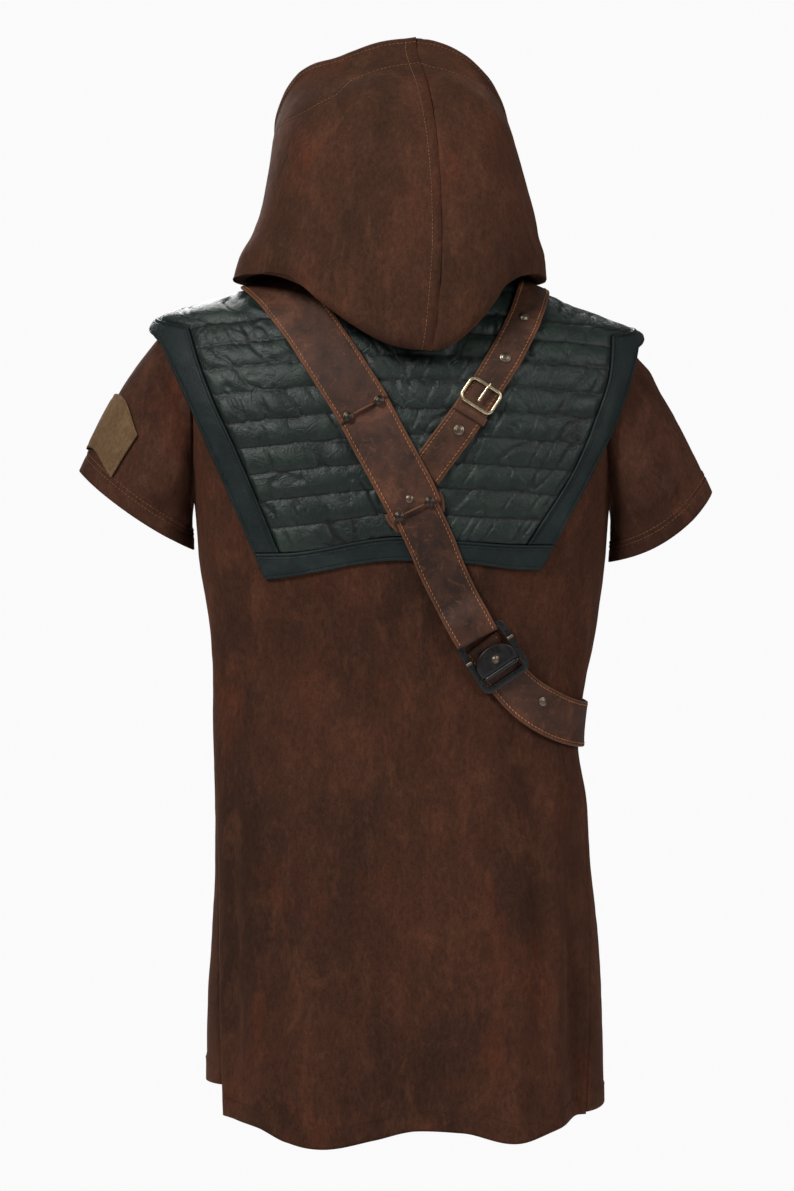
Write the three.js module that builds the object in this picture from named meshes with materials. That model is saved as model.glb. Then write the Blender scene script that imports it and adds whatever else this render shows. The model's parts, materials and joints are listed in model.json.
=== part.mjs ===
// Hooded suede tunic with a quilted leather yoke and its leather harness, in the form it takes
// when it is worn. Millimetres, +Z up. The wearer faces +Y. The origin lies midway between the
// shoulders, at the height where the neck leaves them. "left" is -X and "right" is +X.
import * as THREE from 'three';
import { mergeVertices } from 'three/addons/utils/BufferGeometryUtils.js';

// ---------------------------------------------------------------- driving sizes
const SUEDE = 1.6; // wall of the body, sleeves and hood
const YOKE_LEATHER = 1.5; // plain wall of the yoke
const QUILT_RISE = 3.2; // height of a padded channel above its seams
const BAND_RISE = 1; // height of the yoke's bands over its form
const STRAP = 2.5; // harness leather
const SEAM_GAP = 0.3;
const NECK_DROP = 60; // front neckline below the shoulder line
const HEM_BAND = 1.1; // a turned hem is this much thicker than the wall

// Turns a header and rows of numbers into rows with named columns.
function columns(header, rows) {
  const names = header.split(' ');
  return rows.map((row) => Object.fromEntries(names.map((name, i) => [name, row[i]])));
}

// Rings of the body: half widths, depths behind and in front, squareness of the ring, and how
// far behind (-) the side its seam lies.
const TORSO = columns('z left right back front square seam', [
  [0, 75, 75, 68, 70, 2.0, 0],
  [-10, 106, 99, 76, 78, 2.0, 0],
  [-25, 153, 135, 84, 87, 2.0, 0],
  [-45, 215, 182, 93, 94, 2.05, 0],
  [-63, 257, 222, 101, 101, 2.2, 0],
  [-78, 259, 250, 107, 107, 2.4, 0],
  [-120, 256, 256, 121, 120, 2.9, 0],
  [-200, 243, 244, 131, 131, 3.2, 0],
  [-272, 232, 236, 130, 133, 3.1, 0],
  [-332, 227, 232, 125, 130, 2.8, 0],
  [-377, 220, 226, 118, 125, 2.6, 0],
  [-422, 214, 220, 112, 121, 2.5, 0],
  [-468, 212, 210, 107, 118, 2.45, -6],
  [-536, 211, 202, 107, 119, 2.4, -18],
  [-604, 210, 211, 118, 125, 2.4, -30],
  [-672, 210, 215, 128, 132, 2.4, -42],
  [-763, 214, 224, 139, 141, 2.4, -60],
  [-854, 218, 229, 149, 149, 2.4, -74],
  [-980, 219, 231, 160, 156, 2.4, -90],
]);

// How far the yoke's form stands out from the body's.
const YOKE_EASE = columns('z left right depth', [
  [0, 9, 9, 3],
  [-25, 10, 10, 3.6],
  [-45, 12, 12, 3.8],
  [-63, 23, 16, 4.2],
  [-78, 27, 25, 4.6],
  [-100, 28, 25, 4.8],
  [-145, 24, 22, 4.4],
  [-215, 12, 12, 3.2],
  [-300, 7, 7, 2.6],
  [-360, 4, 4, 2.6],
  [-980, 3, 3, 2.6],
]);

// Soft vertical folds: where they start and end, their half width and their height.
const FOLDS = columns('side x0 z0 x1 z1 wide high', [
  [-1, -128, -400, -150, -960, 26, 5],
  [-1, -95, -560, -92, -970, 34, 15],
  [-1, -20, -600, -10, -965, 30, -8],
  [-1, 30, -520, 36, -975, 36, -13],
  [-1, 128, -560, 136, -975, 34, 15],
  [-1, 168, -560, 196, -960, 16, -6],
  [1, -120, -420, -132, -930, 34, 11],
  [1, -40, -520, -46, -930, 30, -9],
  [1, 40, -470, 52, -930, 34, 10],
  [1, 140, -440, 150, -930, 30, -8],
]);

// Hem heights of the two panels, from the left side to the right.
const BACK_HEM = columns('x z', [
  [-205, -946], [-160, -951], [-130, -965], [-88, -970], [-30, -961],
  [25, -952], [80, -954], [132, -966], [190, -950], [215, -945],
]);
const FRONT_HEM = columns('x z', [[-222, -912], [0, -936], [232, -943]]);
const VENT_TOP = -770;
const VENT_GAP = 8;

// Armholes: top and bottom heights and the half width from front to back.
const ARMHOLE = { left: { top: -63, bottom: -272, half: 80 }, right: { top: -78, bottom: -272, half: 80 } };
const ARM_STEPS = 12;

// Sleeve hems, seen from behind: the outer and underarm corners, the depth and the dip of the edge.
const SLEEVE = {
  left: { outer: [-363, -230], under: [-235, -320], depth: 74, dip: 6, swell: 22 },
  right: { outer: [351, -254], under: [238, -334], depth: 74, dip: 15, swell: 14 },
};

// Hood: each row is an arch from the centre seam (c) by the left (l) and right (r) side to the chin.
// fall and sag bend the arch's height behind and in front of the side point, lArc and rArc are how
// full each half stands, and press flattens the left half beside the seam.
const HOOD = columns('cx cy cz lx ly lz rx ry rz ey ez fall sag lArc rArc press', [
  [0, -69, 2.2, -76, 0, 2.2, 76, 0, 2.2, 102, -57.5, 2, 4, 0.88, 0.88, 0],
  [8, -94, -8, -118, -2, 5, 112, -2, 2, 107, -60, 3, 4, 0.88, 0.88, 0],
  [22, -126, -62, -160, -4, -5, 138, -4, -8, 112, -62, 4.5, 4.6, 0.88, 0.88, 0],
  [33, -148, -106, -178, -6, -17, 156, -6, -17, 116, -61, 6, 5.4, 0.88, 0.88, 0],
  [37, -159, -93, -190, -7, -16, 165, -7, -15, 120, -53, 6, 4.6, 0.88, 0.88, 0],
  [42, -161, -46, -183, -6, 8, 163, -6, 9, 120, -42, 4, 2.2, 0.88, 0.88, 0],
  [45, -157, 10, -169, -2, 34, 156, -2, 32, 118, -33, 2.6, 1.9, 0.88, 0.88, 0],
  [44, -151, 60, -160, 6, 60, 152, 6, 56, 116, -26, 1.8, 1.7, 0.88, 0.88, 0],
  [41, -142, 110, -154, 18, 88, 145, 18, 82, 115, -21, 1.2, 1.5, 0.86, 0.88, 0],
  [36, -120, 157, -150, 34, 112, 138, 34, 106, 115, -17, 1, 1.35, 0.82, 0.88, 0],
  [29, -86, 197, -147, 50, 133, 134, 50, 125, 115, -13, 1, 1.25, 0.78, 0.92, 4],
  [23, -53, 222, -145, 63, 147, 131, 62, 138, 115, -10, 1, 1.2, 0.75, 1, 8],
  [19, -35, 239, -144, 73, 156, 128, 72, 147, 116, -7, 1, 1.2, 0.75, 1.06, 10],
  [18, -18, 256, -144, 82, 162, 127, 80, 152, 116, -4, 1, 1.2, 0.75, 1.06, 10],
]);
const HOOD_STEPS = [0, 1, 2, 2.5, 3, 3.5, 4, 5, 6, 7, 8, 9, 10, 11, 12, 13];
const CHIN_HALF = 9; // half the gap between the hood's front edges
const SIDE_SHARE = 0.6; // share of each arch that lies between the centre seam and the side

// Yoke edges seen from behind: where the quilting ends and where the band ends, side by side.
const YOKE_SIDE = {
  left: columns('inZ inX outZ outX', [
    [-325, -132, -325, -161],
    [-218, -177, -215, -209],
    [-150, -208, -145, -241],
    [-110, -223, -97, -264],
    [-55, -240, -66, -281],
  ]),
  right: columns('inZ inX outZ outX', [
    [-316, 139, -316, 170],
    [-231, 192, -228, 217],
    [-176, 215, -171, 244],
    [-125, 231, -115, 262],
    [-66, 236, -78, 270],
  ]),
};
const YOKE_FOOT = columns('x inZ outZ', [
  [-170, -325.6, -356],
  [-132, -325.6, -353],
  [0, -308, -334],
  [70, -313, -337],
  [139, -316.6, -344],
  [178, -316.6, -344],
]);
// Heights of the quilting's seams at its left edge, its middle and its right edge, counted up from
// the foot. From RIDGE_SEAM on, the edges run along the shoulder ridge to the neck.
const SEAMS = columns('seam left middle right', [
  [0, -325, -308, -316],
  [1, -298.5, -282, -290],
  [2, -269.6, -254.9, -263],
  [3, -240.7, -226.6, -236.4],
  [4, -212.4, -197.1, -206.9],
  [5, -185.2, -168.3, -178.6],
  [6, -153.6, -137.2, -152.5],
  [7, -125.2, -108.9, -122],
  [8, -99.1, -80.6, -98],
  [9, -75, -54, -79],
  [9.5, -55, -36, -66],
  [10.5, -8, -8, -8],
]);
const RIDGE_SEAM = 9.5;
const TOP_SEAM = 10.5;
const ROWS_PER_CHANNEL = 4;
const FRONT_YOKE_TOP = -76;
const BAND_ROWS = 14; // the last of them turns out to the shoulder ridge
const RIDGE_ROOM = 0.003; // radians kept free between back and front along the shoulder ridge

// Harness lengths. face -1 lies behind at height at, +1 in front, 0 on the shoulder at depth at.
const STRAPS = {
  strap_shoulder: columns('face x at lift width', [
    [1, -88, -156, 7.8, 58],
    [1, -102, -132, 7.8, 58],
    [1, -122, -98, 6.8, 58],
    [0, -143, 45, 6.2, 58],
    [0, -150, 0, 5.4, 58],
    [0, -146, -42, 5.4, 59],
    [-1, -106, -69, 5, 60],
    [-1, -84, -100, 4.6, 60],
    [-1, -55, -146, 7.0, 60],
    [-1, -39, -172, 7.2, 60],
  ]),
  strap_middle: columns('face x at lift width', [
    [-1, -53, -150, 4.2, 58],
    [-1, -39, -172, 4.2, 60],
    [-1, -24, -200, 6.6, 60],
    [-1, -4, -237, 10.2, 60],
    [-1, 8, -260, 10.6, 60],
    [-1, 18, -281, 10.6, 58],
  ]),
  strap_lower: columns('face x at lift width', [
    [-1, 8, -262, 7.3, 51],
    [-1, 20, -285, 7.3, 51],
    [-1, 34, -316, 4.6, 51],
    [-1, 46, -345, 2.4, 50],
    [-1, 60, -374, 2.4, 49],
    [-1, 73, -399, 11.2, 49],
    [-1, 83, -418, 12.6, 48],
  ]),
  strap_waist: columns('face x at lift width', [
    [-1, 88, -424, 0.5, 44],
    [-1, 113, -458, 0.4, 46],
    [-1, 142, -488, 0.6, 50],
    [-1, 172, -506, 0.7, 52],
    [-1, 196, -515, 0.9, 52],
    [1, 197, -512, 0.9, 52],
    [1, 178, -498, 3.2, 52],
    [1, 158, -480, 4.4, 52],
  ]),
  strap_front: columns('face x at lift width', [
    [1, -98, -136, 4.4, 50],
    [1, -86, -156, 4.4, 50],
    [1, -50, -208, 4.4, 50],
    [1, 0, -275, 4.8, 50],
    [1, 40, -330, 2.4, 50],
    [1, 90, -395, 0.7, 50],
    [1, 140, -458, 0.7, 50],
    [1, 160, -482, 0.7, 50],
  ]),
  narrow_back: columns('face x at lift width', [
    [1, 126, -94, 9, 37],
    [1, 135, -78, 9, 37],
    [0, 143, 40, 6.6, 37],
    [0, 146, 0, 5.4, 37],
    [0, 148, -36, 5.4, 37],
    [-1, 136, -70, 5.3, 37],
    [-1, 117, -108, 4.6, 37],
    [-1, 96, -142, 4.2, 36],
    [-1, 75, -173, 4.2, 37],
    [-1, 52, -205, 4.2, 38],
    [-1, 25, -241, 4.2, 38],
  ]),
  narrow_front: columns('face x at lift width', [
    [1, 137, -76, 4.6, 37],
    [1, 126, -94, 4.6, 37],
    [1, 94, -142, 4.6, 37],
    [1, 60, -188, 5.0, 37],
    [1, 22, -232, 7.8, 37],
    [1, -2, -262, 8.2, 37],
  ]),
};
const JOINT_BACKING = columns('face x at lift width', [
  [-1, 13.5, -271, 4.2, 66],
  [-1, 17, -279, 4.2, 66],
  [-1, 23, -292, 4.2, 56],
]);
const KEEPER = columns('face x at lift width', [
  [-1, 78, -171.5, 7.1, 39],
  [-1, 73.5, -179, 7.1, 39],
]);

// Rivets and studs: the surface they sit on (lift), their size, and which side they are on.
const DOMES = {
  dark: columns('face x at lift radius', [
    [-1, -56.4, -178.7, 9.9, 5],
    [-1, -23, -161.5, 9.9, 5],
    [-1, -1, -285.5, 13.1, 5],
    [-1, 31.8, -270, 13.1, 5],
  ]),
  bright: columns('face x at lift radius', [
    [-1, 10, -267, 13.1, 4],
    [-1, 135, -70.5, 7.6, 5.5],
    [-1, 114, -114.5, 7.1, 5.5],
    [-1, 63.6, -192.5, 6.9, 5.5],
    [-1, 156.5, -489, 3.4, 5],
    [1, -95, -144, 10.5, 5],
    [1, 10, -247, 11.2, 5],
    [1, 167, -489, 6.6, 5],
  ]),
};

const BRASS_BUCKLE = { x: 87.5, z: -156, lift: 8.6, turn: -33, wide: 42, long: 31, corner: 8, wire: 2 };
const CLASP = {
  x: 100.6, z: -437.7, lift: 5.8, turn: 34, wide: 61, long: 68, corner: 10, bar: 7.5, thick: 3.4,
  plateWide: 47.5, plateLong: 26, plateRise: 2.6,
};

const MATERIALS = {
  suede: new THREE.MeshStandardMaterial({ color: 0x42291f, roughness: 0.95, metalness: 0 }),
  patch: new THREE.MeshStandardMaterial({ color: 0x68533d, roughness: 0.9, metalness: 0 }),
  yoke: new THREE.MeshStandardMaterial({ color: 0x2f3935, roughness: 0.45, metalness: 0 }),
  band: new THREE.MeshStandardMaterial({ color: 0x293030, roughness: 0.45, metalness: 0 }),
  harness: new THREE.MeshStandardMaterial({ color: 0x593f36, roughness: 0.6, metalness: 0 }),
  brass: new THREE.MeshStandardMaterial({ color: 0xb5a27a, roughness: 0.3, metalness: 1 }),
  steel: new THREE.MeshStandardMaterial({ color: 0x8a8378, roughness: 0.35, metalness: 1 }),
  black: new THREE.MeshStandardMaterial({ color: 0x15171a, roughness: 0.35, metalness: 0.6 }),
};

const tunic = new THREE.Group();
tunic.name = 'hooded_tunic';

// Adds one named piece to the garment.
function place(name, geometry, material) {
  const mesh = new THREE.Mesh(geometry, material);
  mesh.name = name;
  tunic.add(mesh);
  return mesh;
}

// ---------------------------------------------------------------- curves and forms
// Smooth curve through every column of a table. It never swings past the table's own values.
function track(table, by) {
  const rows = [...table].sort((a, b) => a[by] - b[by]);
  const at = rows.map((row) => row[by]);
  const names = Object.keys(rows[0]).filter((name) => name !== by);
  const slopes = {};
  for (const name of names) {
    const rises = at.slice(1).map((x, i) => (rows[i + 1][name] - rows[i][name]) / (x - at[i]));
    slopes[name] = at.map((_, i) => {
      const before = rises[Math.max(i - 1, 0)];
      const after = rises[Math.min(i, rises.length - 1)];
      return before * after <= 0 ? 0 : (2 * before * after) / (before + after);
    });
  }
  return (value) => {
    const x = Math.min(Math.max(value, at[0]), at[at.length - 1]);
    let i = 0;
    while (i < at.length - 2 && x > at[i + 1]) i += 1;
    const span = at[i + 1] - at[i];
    const t = (x - at[i]) / span;
    const out = { [by]: x };
    for (const name of names) {
      const start = rows[i][name] * (1 + 2 * t) * (1 - t) ** 2;
      const end = rows[i + 1][name] * t * t * (3 - 2 * t);
      const lean = span * t * (1 - t) * (slopes[name][i] * (1 - t) - slopes[name][i + 1] * t);
      out[name] = start + end + lean;
    }
    return out;
  };
}

const lerp = THREE.MathUtils.lerp;
const smooth = THREE.MathUtils.smoothstep;
const power = (value, exponent) => Math.sign(value) * Math.abs(value) ** exponent;

// A form is a stack of rounded rings. It gives points by angle (0 in front, 90 degrees at the
// right) and finds the nearest skin point of any point, so that pieces can lie on it.
class Form {
  constructor(ringAt) {
    this.ringAt = ringAt;
  }

  point(angle, z) {
    const ring = this.ringAt(z);
    const across = Math.sin(angle);
    const ahead = Math.cos(angle);
    const x = (across < 0 ? ring.left : ring.right) * power(across, 2 / ring.square);
    const y = (ahead < 0 ? ring.back : ring.front) * power(ahead, 2 / ring.square);
    return new THREE.Vector3(x, y, z);
  }

  excess(p) {
    const ring = this.ringAt(p.z);
    const x = Math.abs(p.x) / (p.x < 0 ? ring.left : ring.right);
    const y = Math.abs(p.y) / (p.y < 0 ? ring.back : ring.front);
    return x ** ring.square + y ** ring.square - 1;
  }

  gradient(p) {
    const step = 0.05;
    const part = (axis) => {
      const ahead = p.clone().addScaledVector(axis, step);
      const behind = p.clone().addScaledVector(axis, -step);
      return (this.excess(ahead) - this.excess(behind)) / (2 * step);
    };
    const units = [[1, 0, 0], [0, 1, 0], [0, 0, 1]];
    return new THREE.Vector3(...units.map((unit) => part(new THREE.Vector3(...unit))));
  }

  normal(p) {
    return this.gradient(p).normalize();
  }

  // The skin point nearest to p, moved out by lift.
  rest(p, lift = 0) {
    const q = p.clone();
    for (let i = 0; i < 12; i += 1) {
      const slope = this.gradient(q);
      q.addScaledVector(slope, -this.excess(q) / slope.lengthSq());
    }
    return q.addScaledVector(this.normal(q), lift);
  }

  // The ring angle at which the skin has this x (by side and face) or this y.
  angleAtX(x, z, face) {
    const ring = this.ringAt(z);
    const share = Math.min(Math.abs(x) / (x < 0 ? ring.left : ring.right), 1);
    const angle = Math.asin(share ** (ring.square / 2)) * Math.sign(x);
    return face > 0 ? angle : Math.PI * Math.sign(x || 1) - angle;
  }

  angleAtY(y, z, side) {
    const ring = this.ringAt(z);
    const share = Math.min(Math.abs(y) / (y < 0 ? ring.back : ring.front), 1);
    return side * Math.acos(Math.sign(y) * share ** (ring.square / 2));
  }

  // A skin point on the back (-1) or front (+1) at x and a height, or on the shoulder (0) at x, y.
  spot(face, x, at) {
    if (face !== 0) {
      return this.point(this.angleAtX(x, at, face), at);
    }
    let low = -200;
    let high = 0;
    for (let i = 0; i < 40; i += 1) {
      const middle = (low + high) / 2;
      if (this.excess(new THREE.Vector3(x, at, middle)) > 0) high = middle;
      else low = middle;
    }
    return new THREE.Vector3(x, at, low);
  }
}

const torsoRing = track(TORSO, 'z');
const easeRing = track(YOKE_EASE, 'z');
const torso = new Form(torsoRing);
const mantle = new Form((z) => {
  const ring = torsoRing(z);
  const ease = easeRing(z);
  ring.left += ease.left;
  ring.right += ease.right;
  ring.back += ease.depth;
  ring.front += ease.depth;
  return ring;
});

// ---------------------------------------------------------------- walls
// Joins an outer and an inner grid of points into one closed wall. round joins the last column
// to the first.
function wall(outer, inner, round = false) {
  const rows = outer.length;
  const cols = outer[0].length;
  const points = [...outer.flat(), ...inner.flat()];
  const half = rows * cols;
  const index = [];
  const quad = (a, b, c, d) => index.push(a, b, c, a, c, d);
  const last = round ? cols : cols - 1;
  for (let i = 0; i < rows - 1; i += 1) {
    for (let j = 0; j < last; j += 1) {
      const k = (j + 1) % cols;
      const [a, b, c, d] = [i * cols + j, i * cols + k, (i + 1) * cols + k, (i + 1) * cols + j];
      quad(a, b, c, d);
      quad(half + d, half + c, half + b, half + a);
    }
  }
  for (let j = 0; j < last; j += 1) {
    const k = (j + 1) % cols;
    const end = (rows - 1) * cols;
    quad(k, j, half + j, half + k);
    quad(end + j, end + k, half + end + k, half + end + j);
  }
  if (!round) {
    for (let i = 0; i < rows - 1; i += 1) {
      const [a, b] = [i * cols, (i + 1) * cols];
      quad(a, b, half + b, half + a);
      quad(b + cols - 1, a + cols - 1, half + a + cols - 1, half + b + cols - 1);
    }
  }
  return solid(points, index);
}

// A closed mesh from points and triangles, with its faces turned out.
function solid(points, index) {
  const p = (i) => points[index[i]];
  let volume = 0;
  for (let i = 0; i < index.length; i += 3) {
    volume += p(i).dot(new THREE.Vector3().crossVectors(p(i + 1), p(i + 2)));
  }
  if (volume < 0) index.reverse();
  const geometry = new THREE.BufferGeometry();
  const places = points.flatMap((v) => v.toArray());
  geometry.setAttribute('position', new THREE.Float32BufferAttribute(places, 3));
  geometry.setIndex(index);
  geometry.computeVertexNormals();
  return geometry;
}

// Unit normals of a grid of points, on the side of its row direction times its column direction.
function gridNormals(grid, round = false) {
  const rows = grid.length;
  const cols = grid[0].length;
  return grid.map((row, i) => row.map((_, j) => {
    const down = grid[Math.min(i + 1, rows - 1)][j].clone().sub(grid[Math.max(i - 1, 0)][j]);
    const next = round ? (j + 1) % cols : Math.min(j + 1, cols - 1);
    const past = round ? (j + cols - 1) % cols : Math.max(j - 1, 0);
    const along = row[next].clone().sub(row[past]);
    return down.cross(along).normalize();
  }));
}

// Moves each point of a grid along its normal by a distance, or by a function of row and column.
function shift(grid, normals, distance) {
  const by = typeof distance === 'function' ? distance : () => distance;
  return grid.map((row, i) => row.map((p, j) => p.clone().addScaledVector(normals[i][j], by(i, j))));
}

const steps = (count) => Array.from({ length: count + 1 }, (_, i) => i / count);

// ---------------------------------------------------------------- body
// Height of the folds at a place on the back (-1) or the front (+1).
function foldHeight(face, x, z) {
  let height = 0;
  for (const fold of FOLDS.filter((row) => row.side === face)) {
    const t = (z - fold.z0) / (fold.z1 - fold.z0);
    const offset = (x - lerp(fold.x0, fold.x1, t)) / fold.wide;
    height += fold.high * smooth(t, 0, 1) * Math.exp(-offset * offset);
  }
  return height;
}

const hemAt = { '-1': track(BACK_HEM, 'x'), 1: track(FRONT_HEM, 'x') };

// A body panel is a grid: shoulder rows, armhole rows and skirt rows. u runs from -1, the left
// edge, to 1, the right edge.
const SHOULDER_ROWS = [0, 0.14, 0.33, 0.55, 0.78];
const SKIRT_ROWS = [-300, -332, -377, -422, -468, -536, -604, -672, -763, -854, -905];
const HEM_LEVEL = -960; // height at which a hem's edge angles are read

function bodyPanel(face, across) {
  const rows = [];
  const neck = face > 0 ? -NECK_DROP : 0;
  const neckDip = (u) => (1 - u * u) ** 9;
  for (const t of SHOULDER_ROWS) {
    rows.push({ left: ARMHOLE.left.top * t, right: ARMHOLE.right.top * t, y: 0, sink: neck * (1 - t * 0.72) });
  }
  for (let k = 0; k <= ARM_STEPS; k += 1) {
    const turn = (Math.PI * k) / ARM_STEPS;
    const height = (hole) => lerp(hole.bottom, hole.top, 0.5 + 0.5 * Math.cos(turn));
    const y = face * ARMHOLE.left.half * Math.sin(turn);
    const sink = neck * 0.28 * Math.max(0, 1 - k / 5);
    rows.push({ left: height(ARMHOLE.left), right: height(ARMHOLE.right), y, sink });
  }
  for (const z of [...SKIRT_ROWS, HEM_LEVEL]) {
    rows.push({ left: z, right: z, y: torsoRing(z).seam, sink: 0 });
  }
  const us = steps(across).map((t) => 2 * t - 1);
  const grid = rows.map((row) => us.map((u) => {
    const z = lerp(row.left, row.right, (u + 1) / 2) + row.sink * neckDip(u);
    const gap = z < VENT_TOP ? VENT_GAP : SEAM_GAP;
    const room = (face * (gap / 2 + 0.2)) / torsoRing(z).left;
    const from = torso.angleAtY(row.y, row.left, -1) + (face > 0 ? 0 : 2 * Math.PI) + room;
    const to = torso.angleAtY(row.y, row.right, 1) - room;
    const angle = lerp(from, to, (u + 1) / 2);
    const p = torso.point(angle, z);
    return z === HEM_LEVEL ? torso.point(angle, hemAt[face](p.x).z) : p;
  }));
  const normals = grid.map((row) => row.map((p) => torso.normal(p)));
  const fold = (i, j) => foldHeight(face, grid[i][j].x, grid[i][j].z);
  const hemRow = rows.length - 1;
  const outer = shift(grid, normals, (i, j) => fold(i, j) + (i === hemRow ? HEM_BAND : 0));
  const inner = shift(grid, normals, (i, j) => fold(i, j) - SUEDE);
  return wall(outer, inner);
}

place('back_panel', bodyPanel(-1, 20), MATERIALS.suede);
place('front_panel', bodyPanel(1, 18), MATERIALS.suede);

// ---------------------------------------------------------------- sleeves
// A point of a sleeve: s runs from the armhole (0) to the hem (1), turn goes round from the top
// by the back.
function sleevePoint(side, s, turn) {
  const sign = side === 'left' ? -1 : 1;
  const hole = ARMHOLE[side];
  const hem = SLEEVE[side];
  const z = lerp(hole.bottom, hole.top, 0.5 + 0.5 * Math.cos(turn));
  const y = -hole.half * Math.sin(turn);
  const start = torso.point(torso.angleAtY(y || 1e-6, z, sign), z);
  const out = torso.normal(start);
  const low = (0.5 - 0.5 * Math.cos(turn)) ** 0.7;
  start.addScaledVector(new THREE.Vector3(sign, 0, 0), 1.2);
  start.addScaledVector(out, lerp(-0.2, 2.6, low));
  const outer = new THREE.Vector3(hem.outer[0], 0, hem.outer[1]);
  const under = new THREE.Vector3(hem.under[0], 0, hem.under[1]);
  const middle = outer.clone().add(under).multiplyScalar(0.5);
  const reach = outer.clone().sub(middle);
  const down = new THREE.Vector3(reach.z * sign, 0, -Math.abs(reach.x)).normalize();
  const end = middle.addScaledVector(reach, power(Math.cos(turn), 0.9));
  end.y = -hem.depth * power(Math.sin(turn), 0.9);
  end.addScaledVector(down, hem.dip * Math.max(0, Math.sin(turn)) ** 2);
  const bend = start.clone().add(end).multiplyScalar(0.5);
  const top = (0.5 + 0.5 * Math.cos(turn)) ** 2;
  bend.z += hem.swell * top;
  bend.x += sign * hem.swell * 0.4 * top;
  bend.y *= 1 + 0.14 * Math.abs(Math.sin(turn));
  const first = start.lerp(bend, s);
  return first.lerp(bend.lerp(end, s), s);
}

function sleeve(side) {
  const along = [0, 0.12, 0.28, 0.46, 0.64, 0.78, 0.9, 1];
  const around = 2 * ARM_STEPS;
  const grid = along.map((s) => steps(around).slice(0, around).map((t) => {
    return sleevePoint(side, s, 2 * Math.PI * t);
  }));
  const normals = gridNormals(grid, true);
  const flip = side === 'left' ? -1 : 1;
  const outer = shift(grid, normals, (i) => (i > along.length - 3 ? flip * HEM_BAND : 0));
  const inner = shift(grid, normals, -flip * SUEDE);
  return wall(outer, inner, true);
}

place('sleeve_left', sleeve('left'), MATERIALS.suede);
place('sleeve_right', sleeve('right'), MATERIALS.suede);

// The plain patch wraps round the outside of the left sleeve.
const PATCH = { from: 0.54, to: 0.87, back: 1.16, front: -0.4, lift: 1.9, thick: 1.5 };
function sleevePatch() {
  const grid = steps(6).map((t) => steps(8).map((w) => {
    const waver = 0.02 * Math.sin(7 * w);
    return sleevePoint('left', lerp(PATCH.from, PATCH.to, t) + waver, lerp(PATCH.front, PATCH.back, w));
  }));
  const normals = gridNormals(grid);
  return wall(shift(grid, normals, -PATCH.lift - PATCH.thick), shift(grid, normals, -PATCH.lift));
}
place('sleeve_patch', sleevePatch(), MATERIALS.patch);

// ---------------------------------------------------------------- hood
const hoodRow = track(HOOD.map((row, i) => ({ ...row, step: i })), 'step');

// A point of a hood half: step counts the table's rows, t runs from the centre seam (0) by the
// side (0.6) to the chin (1).
function hoodPoint(side, step, t) {
  const row = hoodRow(step);
  const sign = side === 'left' ? -1 : 1;
  const [sx, sy, sz] = side === 'left' ? [row.lx, row.ly, row.lz] : [row.rx, row.ry, row.rz];
  const seamX = row.cx + sign * 0.25;
  if (t <= SIDE_SHARE) {
    const turn = (Math.PI / 2) * (t / SIDE_SHARE);
    const [arc, press] = side === 'left' ? [row.lArc, row.press] : [row.rArc, 0];
    const x = seamX + (sx - seamX) * Math.sin(turn) ** arc;
    const y = sy + (row.cy - sy) * power(Math.max(Math.cos(turn), 0), 0.88);
    const arch = sz + (row.cz - sz) * Math.max(Math.cos(turn), 0) ** row.fall;
    const z = arch - press * Math.exp(-(((turn - 0.45) / 0.25) ** 2));
    return new THREE.Vector3(x, y, z);
  }
  const turn = (Math.PI / 2) * ((t - SIDE_SHARE) / (1 - SIDE_SHARE));
  const chinX = sign * CHIN_HALF;
  const x = chinX + (sx - chinX) * Math.max(Math.cos(turn), 0) ** 1.1;
  const y = sy + (row.ey - sy) * Math.sin(turn) ** 0.95;
  const z = sz + (row.ez - sz) * Math.sin(turn) ** row.sag;
  return new THREE.Vector3(x, y, z);
}

function hoodHalf(side) {
  const grid = HOOD_STEPS.map((step) => steps(15).map((t) => hoodPoint(side, step, t)));
  const normals = gridNormals(grid);
  const flip = side === 'left' ? -1 : 1;
  const brim = (i) => (i > HOOD_STEPS.length - 3 ? HEM_BAND : 0);
  return wall(shift(grid, normals, (i) => flip * brim(i)), shift(grid, normals, -flip * SUEDE));
}

place('hood_left', hoodHalf('left'), MATERIALS.suede);
place('hood_right', hoodHalf('right'), MATERIALS.suede);

// ---------------------------------------------------------------- yoke
const footLine = track(YOKE_FOOT, 'x');
const innerLine = { '-1': track(YOKE_SIDE.left, 'inZ'), 1: track(YOKE_SIDE.right, 'inZ') };
const ridgeAngle = (side, face) => side * (Math.PI / 2 - face * RIDGE_ROOM);

// Ring angle of the quilting's edge. Above its last free height the edge turns out to the ridge.
function innerAngle(side, z, face, room = 0) {
  const rows = side < 0 ? YOKE_SIDE.left : YOKE_SIDE.right;
  const top = rows[rows.length - 1].inZ;
  const free = lerp(rows[0].inZ, top, 1 - 1 / BAND_ROWS);
  const level = Math.min(z, free);
  const angle = mantle.angleAtX(innerLine[side](level).inX + side * room, level, face);
  return lerp(angle, ridgeAngle(side, face), Math.max(0, (z - free) / (top - free)));
}

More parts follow.
